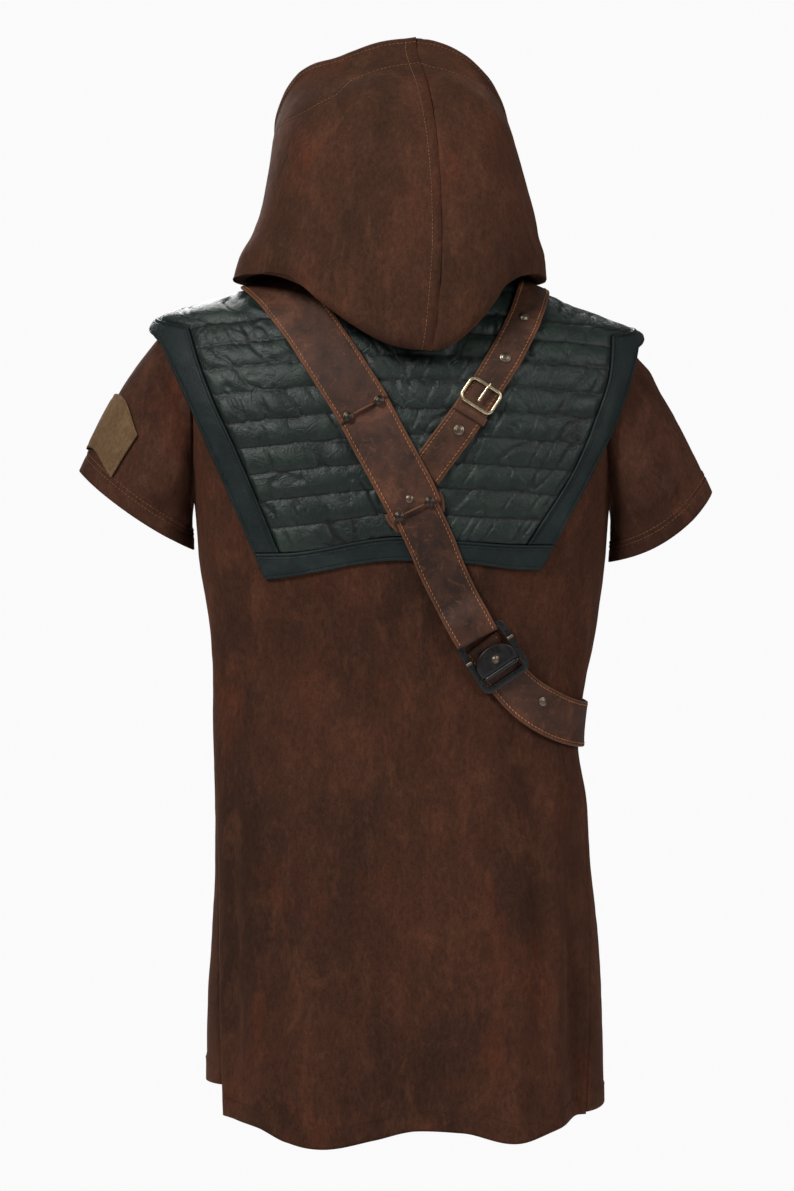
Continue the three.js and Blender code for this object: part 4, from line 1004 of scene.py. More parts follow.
def shape_hood(side, rows=120, columns=84):
    s, t = np.meshgrid(HOOD_TOP * np.linspace(0, 1, rows), np.linspace(0, 1, columns),
                       indexing="ij")
    grid = hood_points(side, s, t)
    out = grid_normals(grid)
    out[:, 0] = out[:, 1]
    high = rows * 3 // 4
    out *= np.sign((out[high] * (grid[high] - HOOD_MIDDLE)).sum())
    to_brim, from_seam = run_of(grid[::-1])[::-1], run_of(grid, 1)
    loose = ease((s - 1) / 2)
    seed = 80 + side
    rise = 1.6 * loose * cloud(from_seam, to_brim, (70, 90), seed)
    rise += 0.4 * loose * cloud(from_seam, to_brim, (22, 30), seed + 3)
    rise += 0.2 * cloud(from_seam, to_brim, (8, 9), seed + 6)
    off_lap = from_seam - LAP_WIDE
    rise += LAP_RISE[side] * ease((2 - off_lap) / 2) - 0.8 * bell(off_lap, 1.2)
    rise += 0.6 * bell(off_lap, 9) * cloud(from_seam, to_brim, (12, 8), seed + 9)
    behind = ease((20 - grid[..., 1]) / 40)
    rise += behind * creases_at(HOOD_CREASES, side, grid[..., 0], grid[..., 2], sway=2.5)
    below_line = curve(BRIM_LINE[side], "t")(t)["step"] - s
    rise -= 0.7 * bell(below_line, 0.07)
    rise += HEM_TURN * ease((BRIM_DEEP - to_brim) / 2) - 0.8 * bell(to_brim - BRIM_DEEP + 3, 1.2)
    return grid, out, rise * ease(s), to_brim, from_seam, below_line


hood_lines = []
for side, hand in ((-1, "left"), (1, "right")):
    grid, out, rise, to_brim, from_seam, below_line = shape_hood(side)
    outer = grid + out * rise[..., None]
    outer[:, 0, 0] = grid[:, 0, 0]
    piece = wall(f"hood_{hand}_suede", outer, outer - out * SUEDE_WALL)
    dress(piece, f"hood_{hand}", SUEDE_HOOD, "hood_suede")
    hood_lines.append(contour(outer, out, below_line, 0.0))
    hood_lines.append(contour(outer, out, to_brim, BRIM_DEEP - 3))
    if side < 0:
        column = int(np.searchsorted(from_seam[len(outer) // 2], LAP_WIDE))
        hood_lines.append((outer[20:-2, column], out[20:-2, column]))
hood_thread = sew("hood_thread", hood_lines, length=3.2, thick=0.36, slant=0.0)
dress(hood_thread, None, SEWN_TAN, "hood_suede")
print("hood grids:", outer.shape[:2])

# %% [markdown]
# ## Quilted yoke
# Thin leather is stitched through to its padding along level seams, so it stands up in channels and
# puckers where the thread pulls it in. The seams' heights come from a table. Between two seams a
# rounded arch gives the padding, and narrow random valleys that lean with the cloth give puckers.

# %% Make the quilting
YOKE_SIDE = {
    -1: table("inZ inX outZ outX", [
        (-325, -132, -325, -161), (-218, -177, -215, -209), (-150, -208, -145, -241),
        (-110, -223, -97, -264), (-55, -240, -66, -281),
    ]),
    1: table("inZ inX outZ outX", [
        (-316, 139, -316, 170), (-231, 192, -228, 217), (-176, 215, -171, 244),
        (-125, 231, -115, 262), (-66, 236, -78, 270),
    ]),
}
YOKE_FOOT = table("x inZ outZ", [
    (-170, -325.6, -356), (-132, -325.6, -353), (0, -308, -334), (70, -313, -337),
    (139, -316.6, -344), (178, -316.6, -344),
])
SEAMS = table("seam left centre right", [
    (0, -325, -308, -316), (1, -298.5, -282, -290), (2, -269.6, -254.9, -263),
    (3, -240.7, -226.6, -236.4), (4, -212.4, -197.1, -206.9), (5, -185.2, -168.3, -178.6),
    (6, -153.6, -137.2, -152.5), (7, -125.2, -108.9, -122), (8, -99.1, -80.6, -98),
    (9, -75, -54, -79), (9.5, -55, -36, -66), (10.5, -8, -8, -8),
])
RIDGE_SEAM, TOP_SEAM = 9.5, 10.5
FRONT_YOKE_TOP = -76
QUILT_RISE, YOKE_WALL = 3.2, 1.5
CORNER_HEIGHT = {-1: -74.3, 1: -83.9}
FOOT_ENDS = (-132, 139)
seam_heights = curve(SEAMS, "seam")
foot_line = curve(YOKE_FOOT, "x")


def side_line(side, where):
    """The line of a yoke's side: where is in, beside the quilting, or out, at its outer edge."""
    return curve({key: YOKE_SIDE[side][where + key] for key in "ZX"}, "Z")


def inner_bearing(side, z, face):
    """Where the quilting meets its side band. Near the shoulder it turns out to the ridge."""
    z = np.asarray(z, float)
    low, high = CORNER_HEIGHT[side], YOKE_SIDE[side]["inZ"][-1]
    below = np.minimum(z, low)
    bearing = mantle.bearing_at_x(side_line(side, "in")(below)["X"], below, face)
    return lerp(bearing, side * math.pi / 2, np.clip((z - low) / (high - low), 0, 1))


def quilt_grid(face, per_channel, across):
    seams = np.linspace(0, TOP_SEAM, int(TOP_SEAM * per_channel) + 1)
    lines = []
    for seam in seams:
        level = {key: float(value) for key, value in seam_heights(seam).items()}
        start, end = (side * math.pi / 2 if seam >= RIDGE_SEAM
                      else float(inner_bearing(side, z, face))
                      for side, z in ((-1, level["left"]), (1, level["right"])))

        def height(share, seam=seam, level=level):
            bow = 1 - (2 * share - 1) ** 2
            edge = lerp(level["left"], level["right"], share)
            foot = foot_line(lerp(*FOOT_ENDS, share))["inZ"]
            if face < 0:
                arch = level["centre"] - (level["left"] + level["right"]) / 2
                low = seam_heights(0)
                first = lerp(low["left"], low["right"], share)
                first = first + (low["centre"] - (low["left"] + low["right"]) / 2) * bow
                return edge + arch * bow + (foot - first) * max(0.0, 1 - seam / 2)
            t = seam / TOP_SEAM
            rise = lerp(-308, FRONT_YOKE_TOP, t) - (level["left"] + level["right"]) / 2
            foot_arch = foot - lerp(-325, -316, share)
            return edge + lerp(foot_arch, rise * bow ** lerp(1, 7, t), min(4 * t, 1))

        lines.append((start + (2 * math.pi if face < 0 else 0), end, height))
    return even_rows(mantle, lines, across), seams


def quilt_relief(grid, seams, seed):
    """Padding, puckers and seam grooves. Each channel has its own pattern."""
    x, z = grid[..., 0], grid[..., 2]
    channel = np.minimum(np.floor(seams + 1e-6), TOP_SEAM)[:, None] + 0 * x
    inside = (seams - np.floor(seams + 1e-6))[:, None] + 0 * x
    run = cloth_lengths(grid)[..., 0] / MM
    arch = np.sin(np.pi * np.clip(inside, 0, 1))
    arch = np.where(channel >= 10, 0.75, arch)
    fat = 1 + 0.24 * cloud(run, 57 * channel, (48, 20), seed)
    rise = 0.98 * QUILT_RISE * np.maximum(arch, 0) ** 0.62 * fat
    lean = np.where(run > 0, -0.55, 0.45)
    along = run + lean * z + 31 * channel
    soft = cloud(along, 40 * channel + 0.25 * z, (21, 26), seed + 1)
    rise += 1.1 * arch ** 0.5 * soft
    valley = np.abs(cloud(along, 70 * channel + 0.5 * z, (15, 22), seed + 2))
    rise -= 2.0 * arch ** 0.35 * bell(valley, 0.17)
    near_seam = bell(np.minimum(inside, 1 - inside), 0.17)
    pucker = cloud(run + 13 * channel, 30 * channel + 0.2 * z, (6.5, 11), seed + 3)
    rise += 1.1 * near_seam * pucker * (arch > 0.02)
    cross = np.abs(cloud(run + 0.9 * z, z, (34, 60), seed + 4))
    rise -= 0.7 * arch * bell(cross, 0.07)
    return np.maximum(rise, -0.25)


quilt_seams = []
for face, word, per_channel, across in ((-1, "back", 16, 210), (1, "front", 12, 130)):
    grid, seams = quilt_grid(face, per_channel, across)
    out = mantle.normal(grid)
    columns = np.arange(across)
    pace = np.linalg.norm(grid[20, 1] - grid[20, 0])
    from_edge = np.minimum(columns, across - 1 - columns) * pace
    rise = quilt_relief(grid, seams, 100 + face) * ease((from_edge + 0.2) / 6)
    outer = grid + out * rise[..., None]
    # V is the padding's height: the quilt finish reads it to paint shade into the seam grooves and
    # to rub the high places.
    hollow = np.stack([0.5 + 0 * rise, np.clip(rise / (1.3 * QUILT_RISE), 0, 1)], -1)
    piece = wall(f"quilt_{word}", outer, grid - out * YOKE_WALL, uv=hollow)
    dress(piece, f"yoke_{word}_quilt", QUILT_LEATHER, "quilted_leather")
    for seam in range(1, 11):
        row = int(np.argmin(np.abs(seams - seam)))
        quilt_seams.append((outer[row, 3:-3], out[row, 3:-3]))
    print("quilting", word, "grid:", outer.shape[:2])
quilt_thread = sew("quilt_thread", quilt_seams, length=2.6, gap=1.2, thick=0.2, slant=0.0,
                   rise=-0.05)
dress(quilt_thread, None, SEWN_GREEN, "quilted_leather")

# %% [markdown]
# Plain bands frame the quilting. Their inner edge is turned over a cord, which makes the narrow
# welt beside the quilting, and their outer edge is turned under and stitched.

# %% Make the bands
WELT_WIDE = 3.2
BAND_END_FOOT = ((-160, 169.5), (-148, 155))
LAST_BEND = 13 / 14
BAND_STATIONS = np.array([
    0, 0.02, 0.045, 0.07, 0.095, 0.12, 0.145, 0.18, 0.24, 0.32, 0.42, 0.52, 0.62, 0.7, 0.77, 0.82,
    0.86, 0.9, 0.94, 0.965, 0.985, 1.0,
])


def band_relief(w, width, run, seed):
    """Height of a band: w runs from its inner edge (0) to its outer edge (1)."""
    inner, outer = w * width, (1 - w) * width
    rise = 1.0 + 0.28 * cloud(run, inner, (17, 12), seed)
    rise += 0.14 * cloud(run, inner, (6, 7), seed + 1)
    rise += 1.25 * np.sin(np.pi * np.clip(inner / WELT_WIDE, 0, 1)) ** 0.8
    rise -= 0.8 * bell(inner - WELT_WIDE - 0.8, 0.9)
    return rise - 0.5 * bell(outer - 4, 1.1) - 0.7 * bell(outer, 0.9)


def line_at(skin, out, stations, share):
    """The line down a grid that keeps to a share of its width, and its normals."""
    place = np.interp(share, stations, np.arange(len(stations)))
    low, row = np.floor(place).astype(int), np.arange(len(skin))
    line = lerp(skin[row, low], skin[row, low + 1], (place - low)[:, None])
    return line[1:-1], out[row, low][1:-1]


def make_band(name, grid, node, seed):
    out = mantle.normal(grid)
    run = run_of(grid[:, 0])[:, None]
    width = np.linalg.norm(grid[:, -1] - grid[:, 0], axis=-1)
    w = BAND_STATIONS + 0 * run
    outer = grid + out * band_relief(w, width[:, None], run + 0 * w, seed)[..., None]
    piece = wall(name, outer, grid - out * YOKE_WALL)
    dress(piece, node, BAND_LEATHER, "band_leather")
    shares = ((WELT_WIDE + 3) / width, 1 - 4 / width)
    return [line_at(outer, out, BAND_STATIONS, share) for share in shares]


def side_band_grid(side, face):
    rows = YOKE_SIDE[side]
    t = np.linspace(0, 1, 150)[:, None]
    z_in, z_out = (lerp(rows[key][0], rows[key][-1], t) for key in ("inZ", "outZ"))
    at_in = inner_bearing(side, z_in, face) + side * face * SEAM_GAP / 250
    z_last = np.minimum(z_out, lerp(rows["outZ"][0], rows["outZ"][-1], LAST_BEND))
    at_out = mantle.bearing_at_x(side_line(side, "out")(z_last)["X"], z_last, face)
    at_out = lerp(at_out, side * math.pi / 2, np.clip((t - LAST_BEND) / (1 - LAST_BEND), 0, 1))
    return mantle.point(lerp(at_in, at_out, BAND_STATIONS), lerp(z_in, z_out, BAND_STATIONS))


def foot_band_grid(face):
    t = np.linspace(0, 1, 170)[:, None]
    left, right = (lerp(inner, outer, BAND_STATIONS) for inner, outer in zip(*BAND_END_FOOT))
    x = lerp(left, right, t)
    z = lerp(foot_line(x)["inZ"] - SEAM_GAP, foot_line(x)["outZ"], BAND_STATIONS)
    return mantle.point(mantle.bearing_at_x(x, z, face), z)


band_lines = []
for face, word in ((-1, "back"), (1, "front")):
    for side, hand in ((-1, "left"), (1, "right")):
        band_lines += make_band(f"band_{word}_{hand}", side_band_grid(side, face),
                                f"yoke_{word}_band_{hand}", 130 + side)
    band_lines += make_band(f"band_{word}_foot", foot_band_grid(face),
                            f"yoke_{word}_band_foot", 137)
band_thread = sew("band_thread", band_lines, length=2.8, gap=1.3, thick=0.26, slant=0.0)
dress(band_thread, None, SEWN_GREEN, "band_leather")
print("bands:", len(band_lines) // 2)

# %% [markdown]
# ## Harness
# The belts are thick waxed leather. A belt's middle line is a smooth curve through places on the
# yoke's form, and each point across it is laid on the form again, so the belt bends over the body
# as leather does but never stretches off it. Its cut edges are rounded, lighter and burnished.


# %% Strap builder
def smooth_line(knots):
    """A centripetal curve through the knots, read at places from 0 to the last knot."""
    knots = np.asarray(knots, float)
    padded = np.vstack([2 * knots[0] - knots[1], knots, 2 * knots[-1] - knots[-2]])

    def read(places):
        places = np.clip(np.asarray(places, float), 0, len(knots) - 1)
        i = np.minimum(places.astype(int), len(knots) - 2)
        t = (places - i)[:, None]
        a, b, c, d = (padded[i + k] for k in range(4))
        ab, bc, cd = (np.linalg.norm(q - p, axis=1)[:, None] ** 0.5
                      for p, q in ((a, b), (b, c), (c, d)))
        lean_b = ((b - a) / ab - (c - a) / (ab + bc) + (c - b) / bc) * bc
        lean_c = ((c - b) / bc - (d - b) / (bc + cd) + (d - c) / cd) * bc
        curve_2 = -3 * b + 3 * c - 2 * lean_b - lean_c
        curve_3 = 2 * b - 2 * c + lean_b + lean_c
        return b + lean_b * t + curve_2 * t ** 2 + curve_3 * t ** 3

    return read


STRAP_THICK, STRAP_PACE = 2.5, 2.6
STRAP_STATIONS = np.array([
    0, 0.006, 0.02, 0.045, 0.065, 0.085, 0.105, 0.13, 0.2, 0.35, 0.5, 0.65, 0.8, 0.87, 0.895, 0.915,
    0.935, 0.955, 0.98, 0.994, 1.0,
])
STITCH_INSET = 4.2


def strap_profile(w, width):
    """Thickness across a strap: rounded edges and a groove where each seam pulls down."""
    inset = np.minimum(w, 1 - w) * width
    groove = 0.35 * bell(inset - STITCH_INSET, 0.8)
    return STRAP_THICK * (1 - 0.55 * np.exp(-inset / 0.5)) - groove


def make_strap(name, rows, node, material, seed):
    """Lays a belt along its table's places and returns the lines of its two seams."""
    spots = [mantle.spot(*place) for place in zip(rows["face"], rows["x"], rows["at"])]
    count = max(int(steps(spots).sum() / STRAP_PACE), 8)
    read = smooth_line(spots)
    places = np.linspace(0, len(spots) - 1, count)
    middle = mantle.rest(read(places))
    side = unit(np.cross(read(places + 1e-3) - read(places - 1e-3), mantle.normal(middle)))
    grade = curve({"place": np.arange(len(spots)), **rows}, "place")(places)
    lift, width, run = (v[:, None] for v in (grade["lift"], grade["width"], run_of(middle)))
    w = STRAP_STATIONS + 0 * run
    offset = (w - 0.5) * width + 0.5 * cloud(run, 0 * run, 37, seed)
    base = mantle.rest(middle[:, None] + side[:, None] * offset[..., None], 0 * w)
    out = mantle.normal(base)
    thick = strap_profile(w, width) + 0.22 * cloud(run + 0 * w, w * 50, (24, 17), seed + 1)
    thick = thick - 0.9 * np.exp(-np.minimum(run, run[-1] - run) / 0.6)
    outer, inner = (base + out * height[..., None] for height in (lift + thick, lift))
    piece = wall(name, outer, inner, uv=np.stack([w, run * MM + 0 * w], -1))
    dress(piece, node, material, "harness_leather")
    share = STITCH_INSET / width[:, 0]
    return [line_at(outer, out, STRAP_STATIONS, place) for place in (share, 1 - share)]


# %% [markdown]
# Each belt is a table: which face it lies on, where, how high it lies over what is under it, and
# how wide it is there. Heights differ because belts cross and overlap at their riveted joints.

# %% Make the straps
STRAPS = {
    "strap_shoulder": [
        (1, -88, -156, 7.8, 58), (1, -102, -132, 7.8, 58), (1, -122, -98, 6.8, 58),
        (0, -143, 45, 6.2, 58), (0, -150, 0, 5.4, 58), (0, -146, -42, 5.4, 59),
        (-1, -106, -69, 5, 60), (-1, -84, -100, 4.6, 60), (-1, -55, -146, 7.0, 60),
        (-1, -39, -172, 7.2, 60),
    ],
    "strap_middle": [
        (-1, -53, -150, 4.2, 58), (-1, -39, -172, 4.2, 60), (-1, -24, -200, 6.6, 60),
        (-1, -4, -237, 10.2, 60), (-1, 8, -260, 10.6, 60), (-1, 18, -281, 10.6, 58),
    ],
    "strap_lower": [
        (-1, 8, -262, 7.3, 51), (-1, 20, -285, 7.3, 51), (-1, 34, -316, 4.6, 51),
        (-1, 46, -345, 2.4, 50), (-1, 60, -374, 2.4, 49), (-1, 73, -399, 11.2, 49),
        (-1, 83, -418, 12.6, 48),
    ],
    "strap_waist": [
        (-1, 88, -424, 0.5, 44), (-1, 113, -458, 0.4, 46), (-1, 142, -488, 0.6, 50),
        (-1, 172, -506, 0.7, 52), (-1, 196, -515, 0.9, 52), (1, 197, -512, 0.9, 52),
        (1, 178, -498, 3.2, 52), (1, 158, -480, 4.4, 52),
    ],
    "strap_front": [
        (1, -98, -136, 4.4, 50), (1, -86, -156, 4.4, 50), (1, -50, -208, 4.4, 50),
        (1, 0, -275, 4.8, 50), (1, 40, -330, 2.4, 50), (1, 90, -395, 0.7, 50),
        (1, 140, -458, 0.7, 50), (1, 160, -482, 0.7, 50),
    ],
    "narrow_back": [
        (1, 126, -94, 9, 37), (1, 135, -78, 9, 37), (0, 143, 40, 6.6, 37), (0, 146, 0, 5.4, 37),
        (0, 148, -36, 5.4, 37), (-1, 136, -70, 5.3, 37), (-1, 117, -108, 4.6, 37),
        (-1, 96, -142, 4.2, 36), (-1, 75, -173, 4.2, 37), (-1, 52, -205, 4.2, 38),
        (-1, 25, -241, 4.2, 38),
    ],
    "narrow_front": [
        (1, 137, -76, 4.6, 37), (1, 126, -94, 4.6, 37), (1, 94, -142, 4.6, 37),
        (1, 60, -188, 5.0, 37), (1, 22, -232, 7.8, 37), (1, -2, -262, 8.2, 37),
    ],
    "joint_backing": [(-1, 13.5, -271, 4.2, 66), (-1, 17, -279, 4.2, 66), (-1, 23, -292, 4.2, 56)],
    "buckle_keeper": [(-1, 78, -171.5, 7.1, 39), (-1, 73.5, -179, 7.1, 39)],
}
NARROW = ("narrow_back", "narrow_front", "buckle_keeper")
PLAIN = ("joint_backing", "buckle_keeper")
strap_lines = []
for i, (node, places) in enumerate(STRAPS.items()):
    rows = table("face x at lift width", places)
    finish = NARROW_LEATHER if node in NARROW else STRAP_LEATHER
    lines = make_strap(f"{node}_leather", rows, node, finish, 200 + 3 * i)
    strap_lines += [] if node in PLAIN else lines
harness_thread = sew("harness_thread", strap_lines, length=3.6, gap=1.2, thick=0.46, slant=0.16)
dress(harness_thread, None, SEWN_ORANGE, "harness_leather")
print("harness:", len(STRAPS), "lengths of leather")

# %% [markdown]
# ## Joints, rivets and studs
# Where two belts are riveted together, a short raised welt runs between two dark rivets. Rivets and
# studs are turned caps: a thin rim, a shoulder and a low dome. `seat` stands a small part on the
# form at a place, with its own Z pointing out of the body, and can turn it.


# %% Seats for small parts
def seat(face, x, at, lift, turn=0.0):
    """A place on the form and its three directions: across, up and out."""
    foot = mantle.spot(face, x, at)
    out = mantle.normal(foot)
    up = unit(np.array([0, 0, 1.0]) - out * out[2])
    side = np.cross(up, out)
    angle = math.radians(turn)
    across = side * math.cos(angle) + up * math.sin(angle)
    ahead = up * math.cos(angle) - side * math.sin(angle)
    return foot + out * lift, np.stack([across, ahead, out])


def fit(name, shape, place, node, finish, slot):
    """Makes a small hard part, stands it at its place and dresses it."""
    points, quads = shape
    origin, directions = place
    dress(make_object(name, origin + points @ directions, quads), node, finish, slot)


def circle(sides):
    turn = np.arange(sides) / sides * 2 * np.pi
    return np.stack([np.cos(turn), np.sin(turn)], -1)


def raise_ring(ring, height):
    return np.concatenate([ring, np.full((len(ring), 1), height)], 1)


def cap(radius, height, sides=36):
    """A turned cap: its profile in (radius, height) pairs runs round from foot to top."""
    profile = [(0.001, 0), (radius, 0), (radius, 0.28), (radius * 0.93, 0.5), (radius * 0.82, 0.62),
               (radius * 0.78, 0.8), (radius * 0.66, height * 0.8), (radius * 0.4, height * 0.95),
               (0.001, height)]
    points = np.concatenate([raise_ring(circle(sides) * r, z) for r, z in profile])
    return points, ring_quads(np.arange(len(points)).reshape(len(profile), sides))


# %% [markdown]
# Dark rivets stand at the ends of the welts, and bright rivets and studs hold the rest. Each row
# gives a cap's place, how high it stands over the form, and its radius.

# %% Make rivets and studs
DOMES = {
    "dark": (BRONZE, "black_metal", 0.5, [
        (-1, -56.4, -178.7, 10.6, 5.4), (-1, -23, -161.5, 10.6, 5.4), (-1, -1, -285.5, 13.8, 5.4),
        (-1, 31.8, -270, 13.8, 5.4),
    ]),
    "bright": (STEEL, "bright_steel", 0.36, [
        (-1, 10, -267, 13.5, 4.2), (-1, 135, -70.5, 7.8, 5.9), (-1, 114, -114.5, 7.4, 5.9),
        (-1, 63.6, -192.5, 7.2, 5.9), (-1, 156.5, -489, 3.6, 5.2), (1, -95, -144, 10.5, 5),
        (1, 10, -247, 11.2, 5), (1, 167, -489, 6.6, 5),
    ]),
}
for word, (finish, slot, dome, rows) in DOMES.items():
    for i, (face, x, at, lift, radius) in enumerate(rows, start=1):
        fit(f"cap_{word}_{i}", cap(radius, radius * dome), seat(face, x, at, lift + 0.1),
            f"rivet_{word}_{i}", finish, slot)
    print(word, "rivets and studs:", len(rows))

JOINTS = [(-56.4, -178.7, -23, -161.5, 9.9), (-1, -285.5, 31.8, -270, 13.2)]
joint_lines = []
for x0, z0, x1, z1, lift in JOINTS:
    spots = np.array([mantle.spot(-1, lerp(x0, x1, t), lerp(z0, z1, t))
                      for t in np.linspace(0.13, 0.87, 12)])
    joint_lines.append((mantle.rest(spots, lift + 0 * spots[:, 0]), mantle.normal(spots)))
joint_welts = sew("joint_welts", joint_lines, length=26, gap=1, thick=1.3, slant=0.0, rise=0.1)
dress(joint_welts, None, STRAP_LEATHER, "harness_leather")

# %% [markdown]
# ## Brass buckle
# The buckle is round brass wire bent into a rectangle with soft corners. Its prong pivots on the
# wire under the leather and rests on the far bar. The wire is swept along its outline as a ring.


# %% Make the brass buckle
def rounded_outline(wide, long, corner, count=10):
    """A closed rectangle with round corners, from its lower right corner round."""
    points = []
    for i, (x, y) in enumerate(((1, -1), (1, 1), (-1, 1), (-1, -1))):
        middle = (x * (wide / 2 - corner), y * (long / 2 - corner))
        turn = np.radians(90 * i - 90 + np.linspace(0, 90, count))
        points.append(middle + corner * np.stack([np.cos(turn), np.sin(turn)], -1))
    return np.concatenate(points)


def refine(loop, pace):
    """More points on the straight runs of a closed line."""
    out = []
    for p, q in zip(loop, np.roll(loop, -1, axis=0)):
        count = max(int(np.linalg.norm(q - p) / pace), 1)
        out.append(lerp(p, q, (np.arange(count) / count)[:, None]))
    return np.concatenate(out)


def flat_normals(loop):
    ahead = unit(np.roll(loop, -1, axis=0) - np.roll(loop, 1, axis=0))
    return np.stack([ahead[:, 1], -ahead[:, 0]], -1)


def sweep_ring(loop, radius, sides=14):
    """A tube round a closed flat line."""
    across, up = (radius * circle(sides)).T
    flat = loop[:, None] + flat_normals(loop)[:, None] * across[:, None]
    points = np.concatenate([flat, np.broadcast_to(up[:, None], (*flat.shape[:2], 1))], -1)
    index = np.arange(len(loop) * sides).reshape(len(loop), sides)
    return points.reshape(-1, 3), ring_quads(np.vstack([index, index[:1]]))[:, [0, 3, 2, 1]]


def tube(line, radii, sides=14):
    """A tube along an open line in space, closed to a point at both ends."""
    line = np.asarray(line, float)
    ahead = unit(np.gradient(line, axis=0))
    side = unit(np.cross(ahead, np.array([0, 0, 1.0]) + 1e-3))
    up = np.cross(side, ahead)
    cosine, sine = circle(sides).T
    ring = side[:, None] * cosine[:, None] + up[:, None] * sine[:, None]
    points = line[:, None] + ring * np.asarray(radii, float)[:, None, None]
    index = np.arange(len(line) * sides).reshape(len(line), sides)
    return points.reshape(-1, 3), ring_quads(index)


BUCKLE = {"wide": 42, "long": 31, "corner": 8, "wire": 2}
frame_place = seat(-1, 87.5, -156, 8.6, -33)
wire_wide, wire_long = (BUCKLE[key] - 2 * BUCKLE["wire"] for key in ("wide", "long"))
wire_line = refine(rounded_outline(wire_wide, wire_long, BUCKLE["corner"] - BUCKLE["wire"]), 1.5)
fit("buckle_wire", sweep_ring(wire_line, BUCKLE["wire"]), frame_place, "brass_frame", BRASS,
    "brass")
reach = BUCKLE["long"] / 2
prong_knots = [(1, 10 - reach, 2.4), (1, -6, 3.0), (1.2, 0, 3.5), (1.4, reach - 7, 4.0),
               (1.6, reach - 2, 4.1), (1.7, reach + 1.2, 3.5)]
prong_line = smooth_line(prong_knots)(np.linspace(0, 5, 40))
prong_radii = np.interp(np.linspace(0, 1, 40), [0, 0.02, 0.1, 0.7, 0.96, 1],
                        [0.05, 1.3, 1.75, 1.5, 1.2, 0.3])
fit("buckle_prong", tube(prong_line, prong_radii), frame_place, "brass_prong", BRASS, "brass")
print("buckle:", len(wire_line), "steps round its wire")

# %% [markdown]
# ## Black side clasp
# The belt is shut by a flat black clasp: a frame, a D-shaped catch plate with a pressed lip, two
# bright pins at its sides and a rivet in the middle. All stay as they are when it is fastened.


# %% Make the clasp
def plate(loop, hole, thick, bevel=0.6):
    """A plate with an outline and perhaps a hole, with its upper edges rounded off."""
    edge = [(0, 0), (0, thick - bevel), (bevel * 0.3, thick - bevel * 0.3), (bevel, thick)]
    rings = [(loop - flat_normals(loop) * inset, z) for inset, z in edge]
    if hole is not None:
        rings += [(hole + flat_normals(hole) * inset, z) for inset, z in edge[::-1]]
    else:
        middle, top = loop.mean(axis=0), rings[3][0]
        rings += [(middle + (top - middle) * share, thick) for share in (0.75, 0.4, 0.02)]
        rings.append((middle + (loop - middle) * 0.02, 0))
    points = np.concatenate([raise_ring(ring, z) for ring, z in rings])
    index = np.arange(len(points)).reshape(len(rings), len(loop))
    return points, ring_quads(np.vstack([index, index[:1]]))


def bar(half, sizes):
    """A round bar along X. sizes holds its thickness at evenly spaced places."""
    across = np.linspace(-half, half, len(sizes))
    return tube(np.stack([across, 0 * across, 0 * across], -1), sizes)


CLASP = {"wide": 61, "long": 68, "corner": 10, "bar": 7.5, "thick": 3.4, "plate_rise": 2.6}
PLATE_HALF, PLATE_LONG, PLATE_SHOULDER = 23.75, 26, 8
PLATE_LIFT = CLASP["thick"] + SEAM_GAP


def clasp_place(x, y, lift):
    origin, directions = seat(-1, 100.6, -437.7, 5.8 + lift, 34)
    return origin + directions[0] * x + directions[1] * y, directions


def match_steps(loop, guide):
    """A loop's own line with as many points as the guide, at the same shares of the way round."""
    run, guide_run = (run_of(np.vstack([line, line[:1]])) for line in (loop, guide))
    closed = np.vstack([loop, loop[:1]])
    return along_line(guide_run[:-1] / guide_run[-1] * run[-1], run, closed)


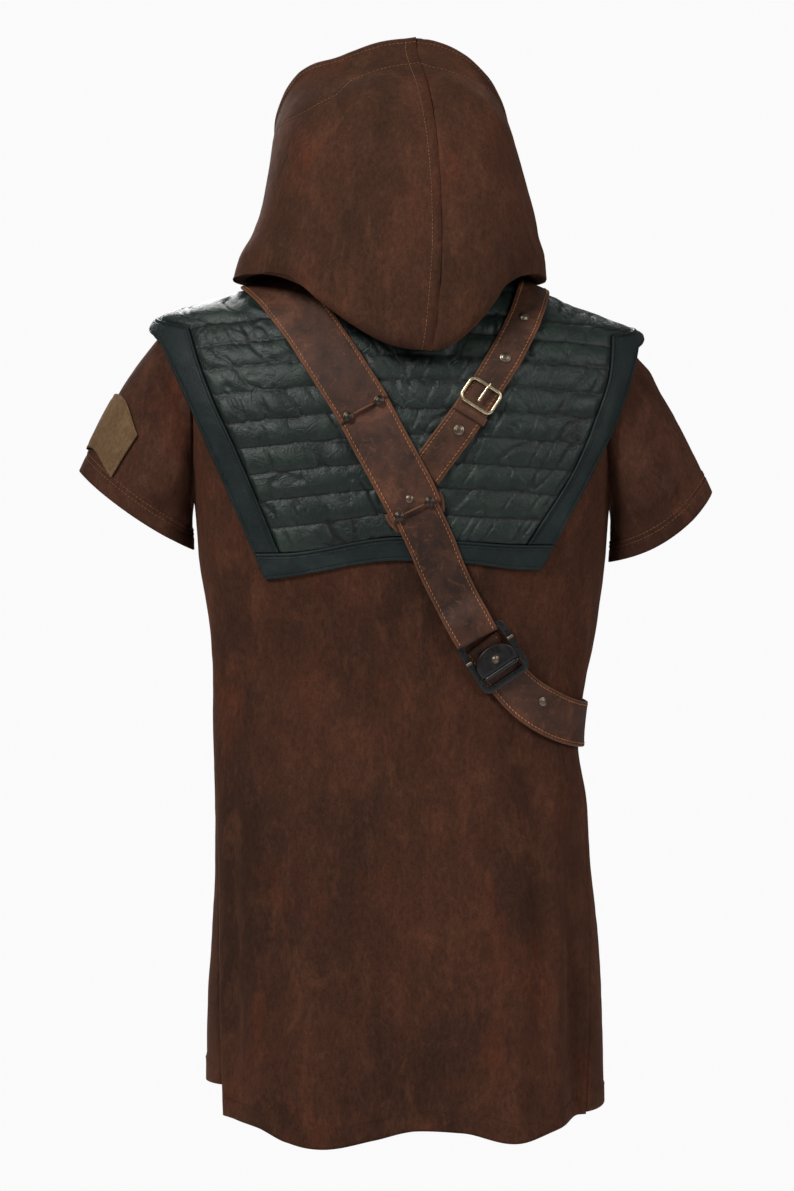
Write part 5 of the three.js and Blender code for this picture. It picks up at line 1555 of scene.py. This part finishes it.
inner_sizes = (CLASP["wide"] - 2 * CLASP["bar"], CLASP["long"] - 2 * CLASP["bar"])
outline = refine(rounded_outline(CLASP["wide"], CLASP["long"], CLASP["corner"]), 3.0)
inner = match_steps(rounded_outline(*inner_sizes, CLASP["corner"] - CLASP["bar"] + 1.5), outline)
arc = np.linspace(0, np.pi, 40)
dome_line = np.stack([PLATE_HALF * np.cos(arc), PLATE_SHOULDER - PLATE_LONG / 2
                      + (PLATE_LONG - PLATE_SHOULDER) * np.sin(arc)], -1)
foot = [(-PLATE_HALF, -PLATE_LONG / 2), (PLATE_HALF, -PLATE_LONG / 2)]
catch = refine(np.vstack([foot, dome_line]), 2.5)
lip_sizes = np.interp(np.arange(30), [0, 1, 3, 26, 28, 29], [0.1, 1.6, 2.4, 2.4, 1.6, 0.1])
pin_sizes = np.interp(np.arange(16), [0, 1, 2, 13, 14, 15], [0.1, 1.5, 1.8, 1.8, 1.5, 0.1])
for name, shape, place, node in (
        ("clasp_black_frame", plate(outline, inner, CLASP["thick"]), (0, 0, 0), "clasp_frame"),
        ("clasp_catch_plate", plate(catch, None, CLASP["plate_rise"], 0.8), (0, -1, PLATE_LIFT),
         "clasp_plate"),
        ("clasp_pressed_lip", bar(PLATE_HALF - 0.5, lip_sizes),
         (0, -PLATE_LONG / 2 - 3.6, PLATE_LIFT + 1.9), "clasp_lip")):
    fit(name, shape, clasp_place(*place), node, BLACK, "black_metal")
for name, shape, place, node in (
        ("clasp_middle_rivet", cap(4.5, 2.25), (0, -3, PLATE_LIFT + CLASP["plate_rise"] + 0.1),
         "clasp_rivet"),
        ("clasp_left_pin", bar(4.2, pin_sizes), (-27, 9, CLASP["thick"] + 2.2), "clasp_pin_left"),
        ("clasp_right_pin", bar(4.2, pin_sizes), (27, 9, CLASP["thick"] + 2.2), "clasp_pin_right")):
    fit(name, shape, clasp_place(*place), node, STEEL, "bright_steel")
print("clasp: frame, catch plate, lip, rivet and two pins")

# %% [markdown]
# ## Every panel is a cut piece
# Each panel and strap was cut flat before it was sewn.

SMALLEST_SIDE, LEAST_SHARE = 0.01, 0.31
for name, (wide, long, area) in CUTS.items():
    wide, long = max(wide, SMALLEST_SIDE), max(long, SMALLEST_SIDE)
    print(f"cut {name}: {wide * 1000:.0f} by {long * 1000:.0f} mm, {area * 1e4:.0f} square cm")
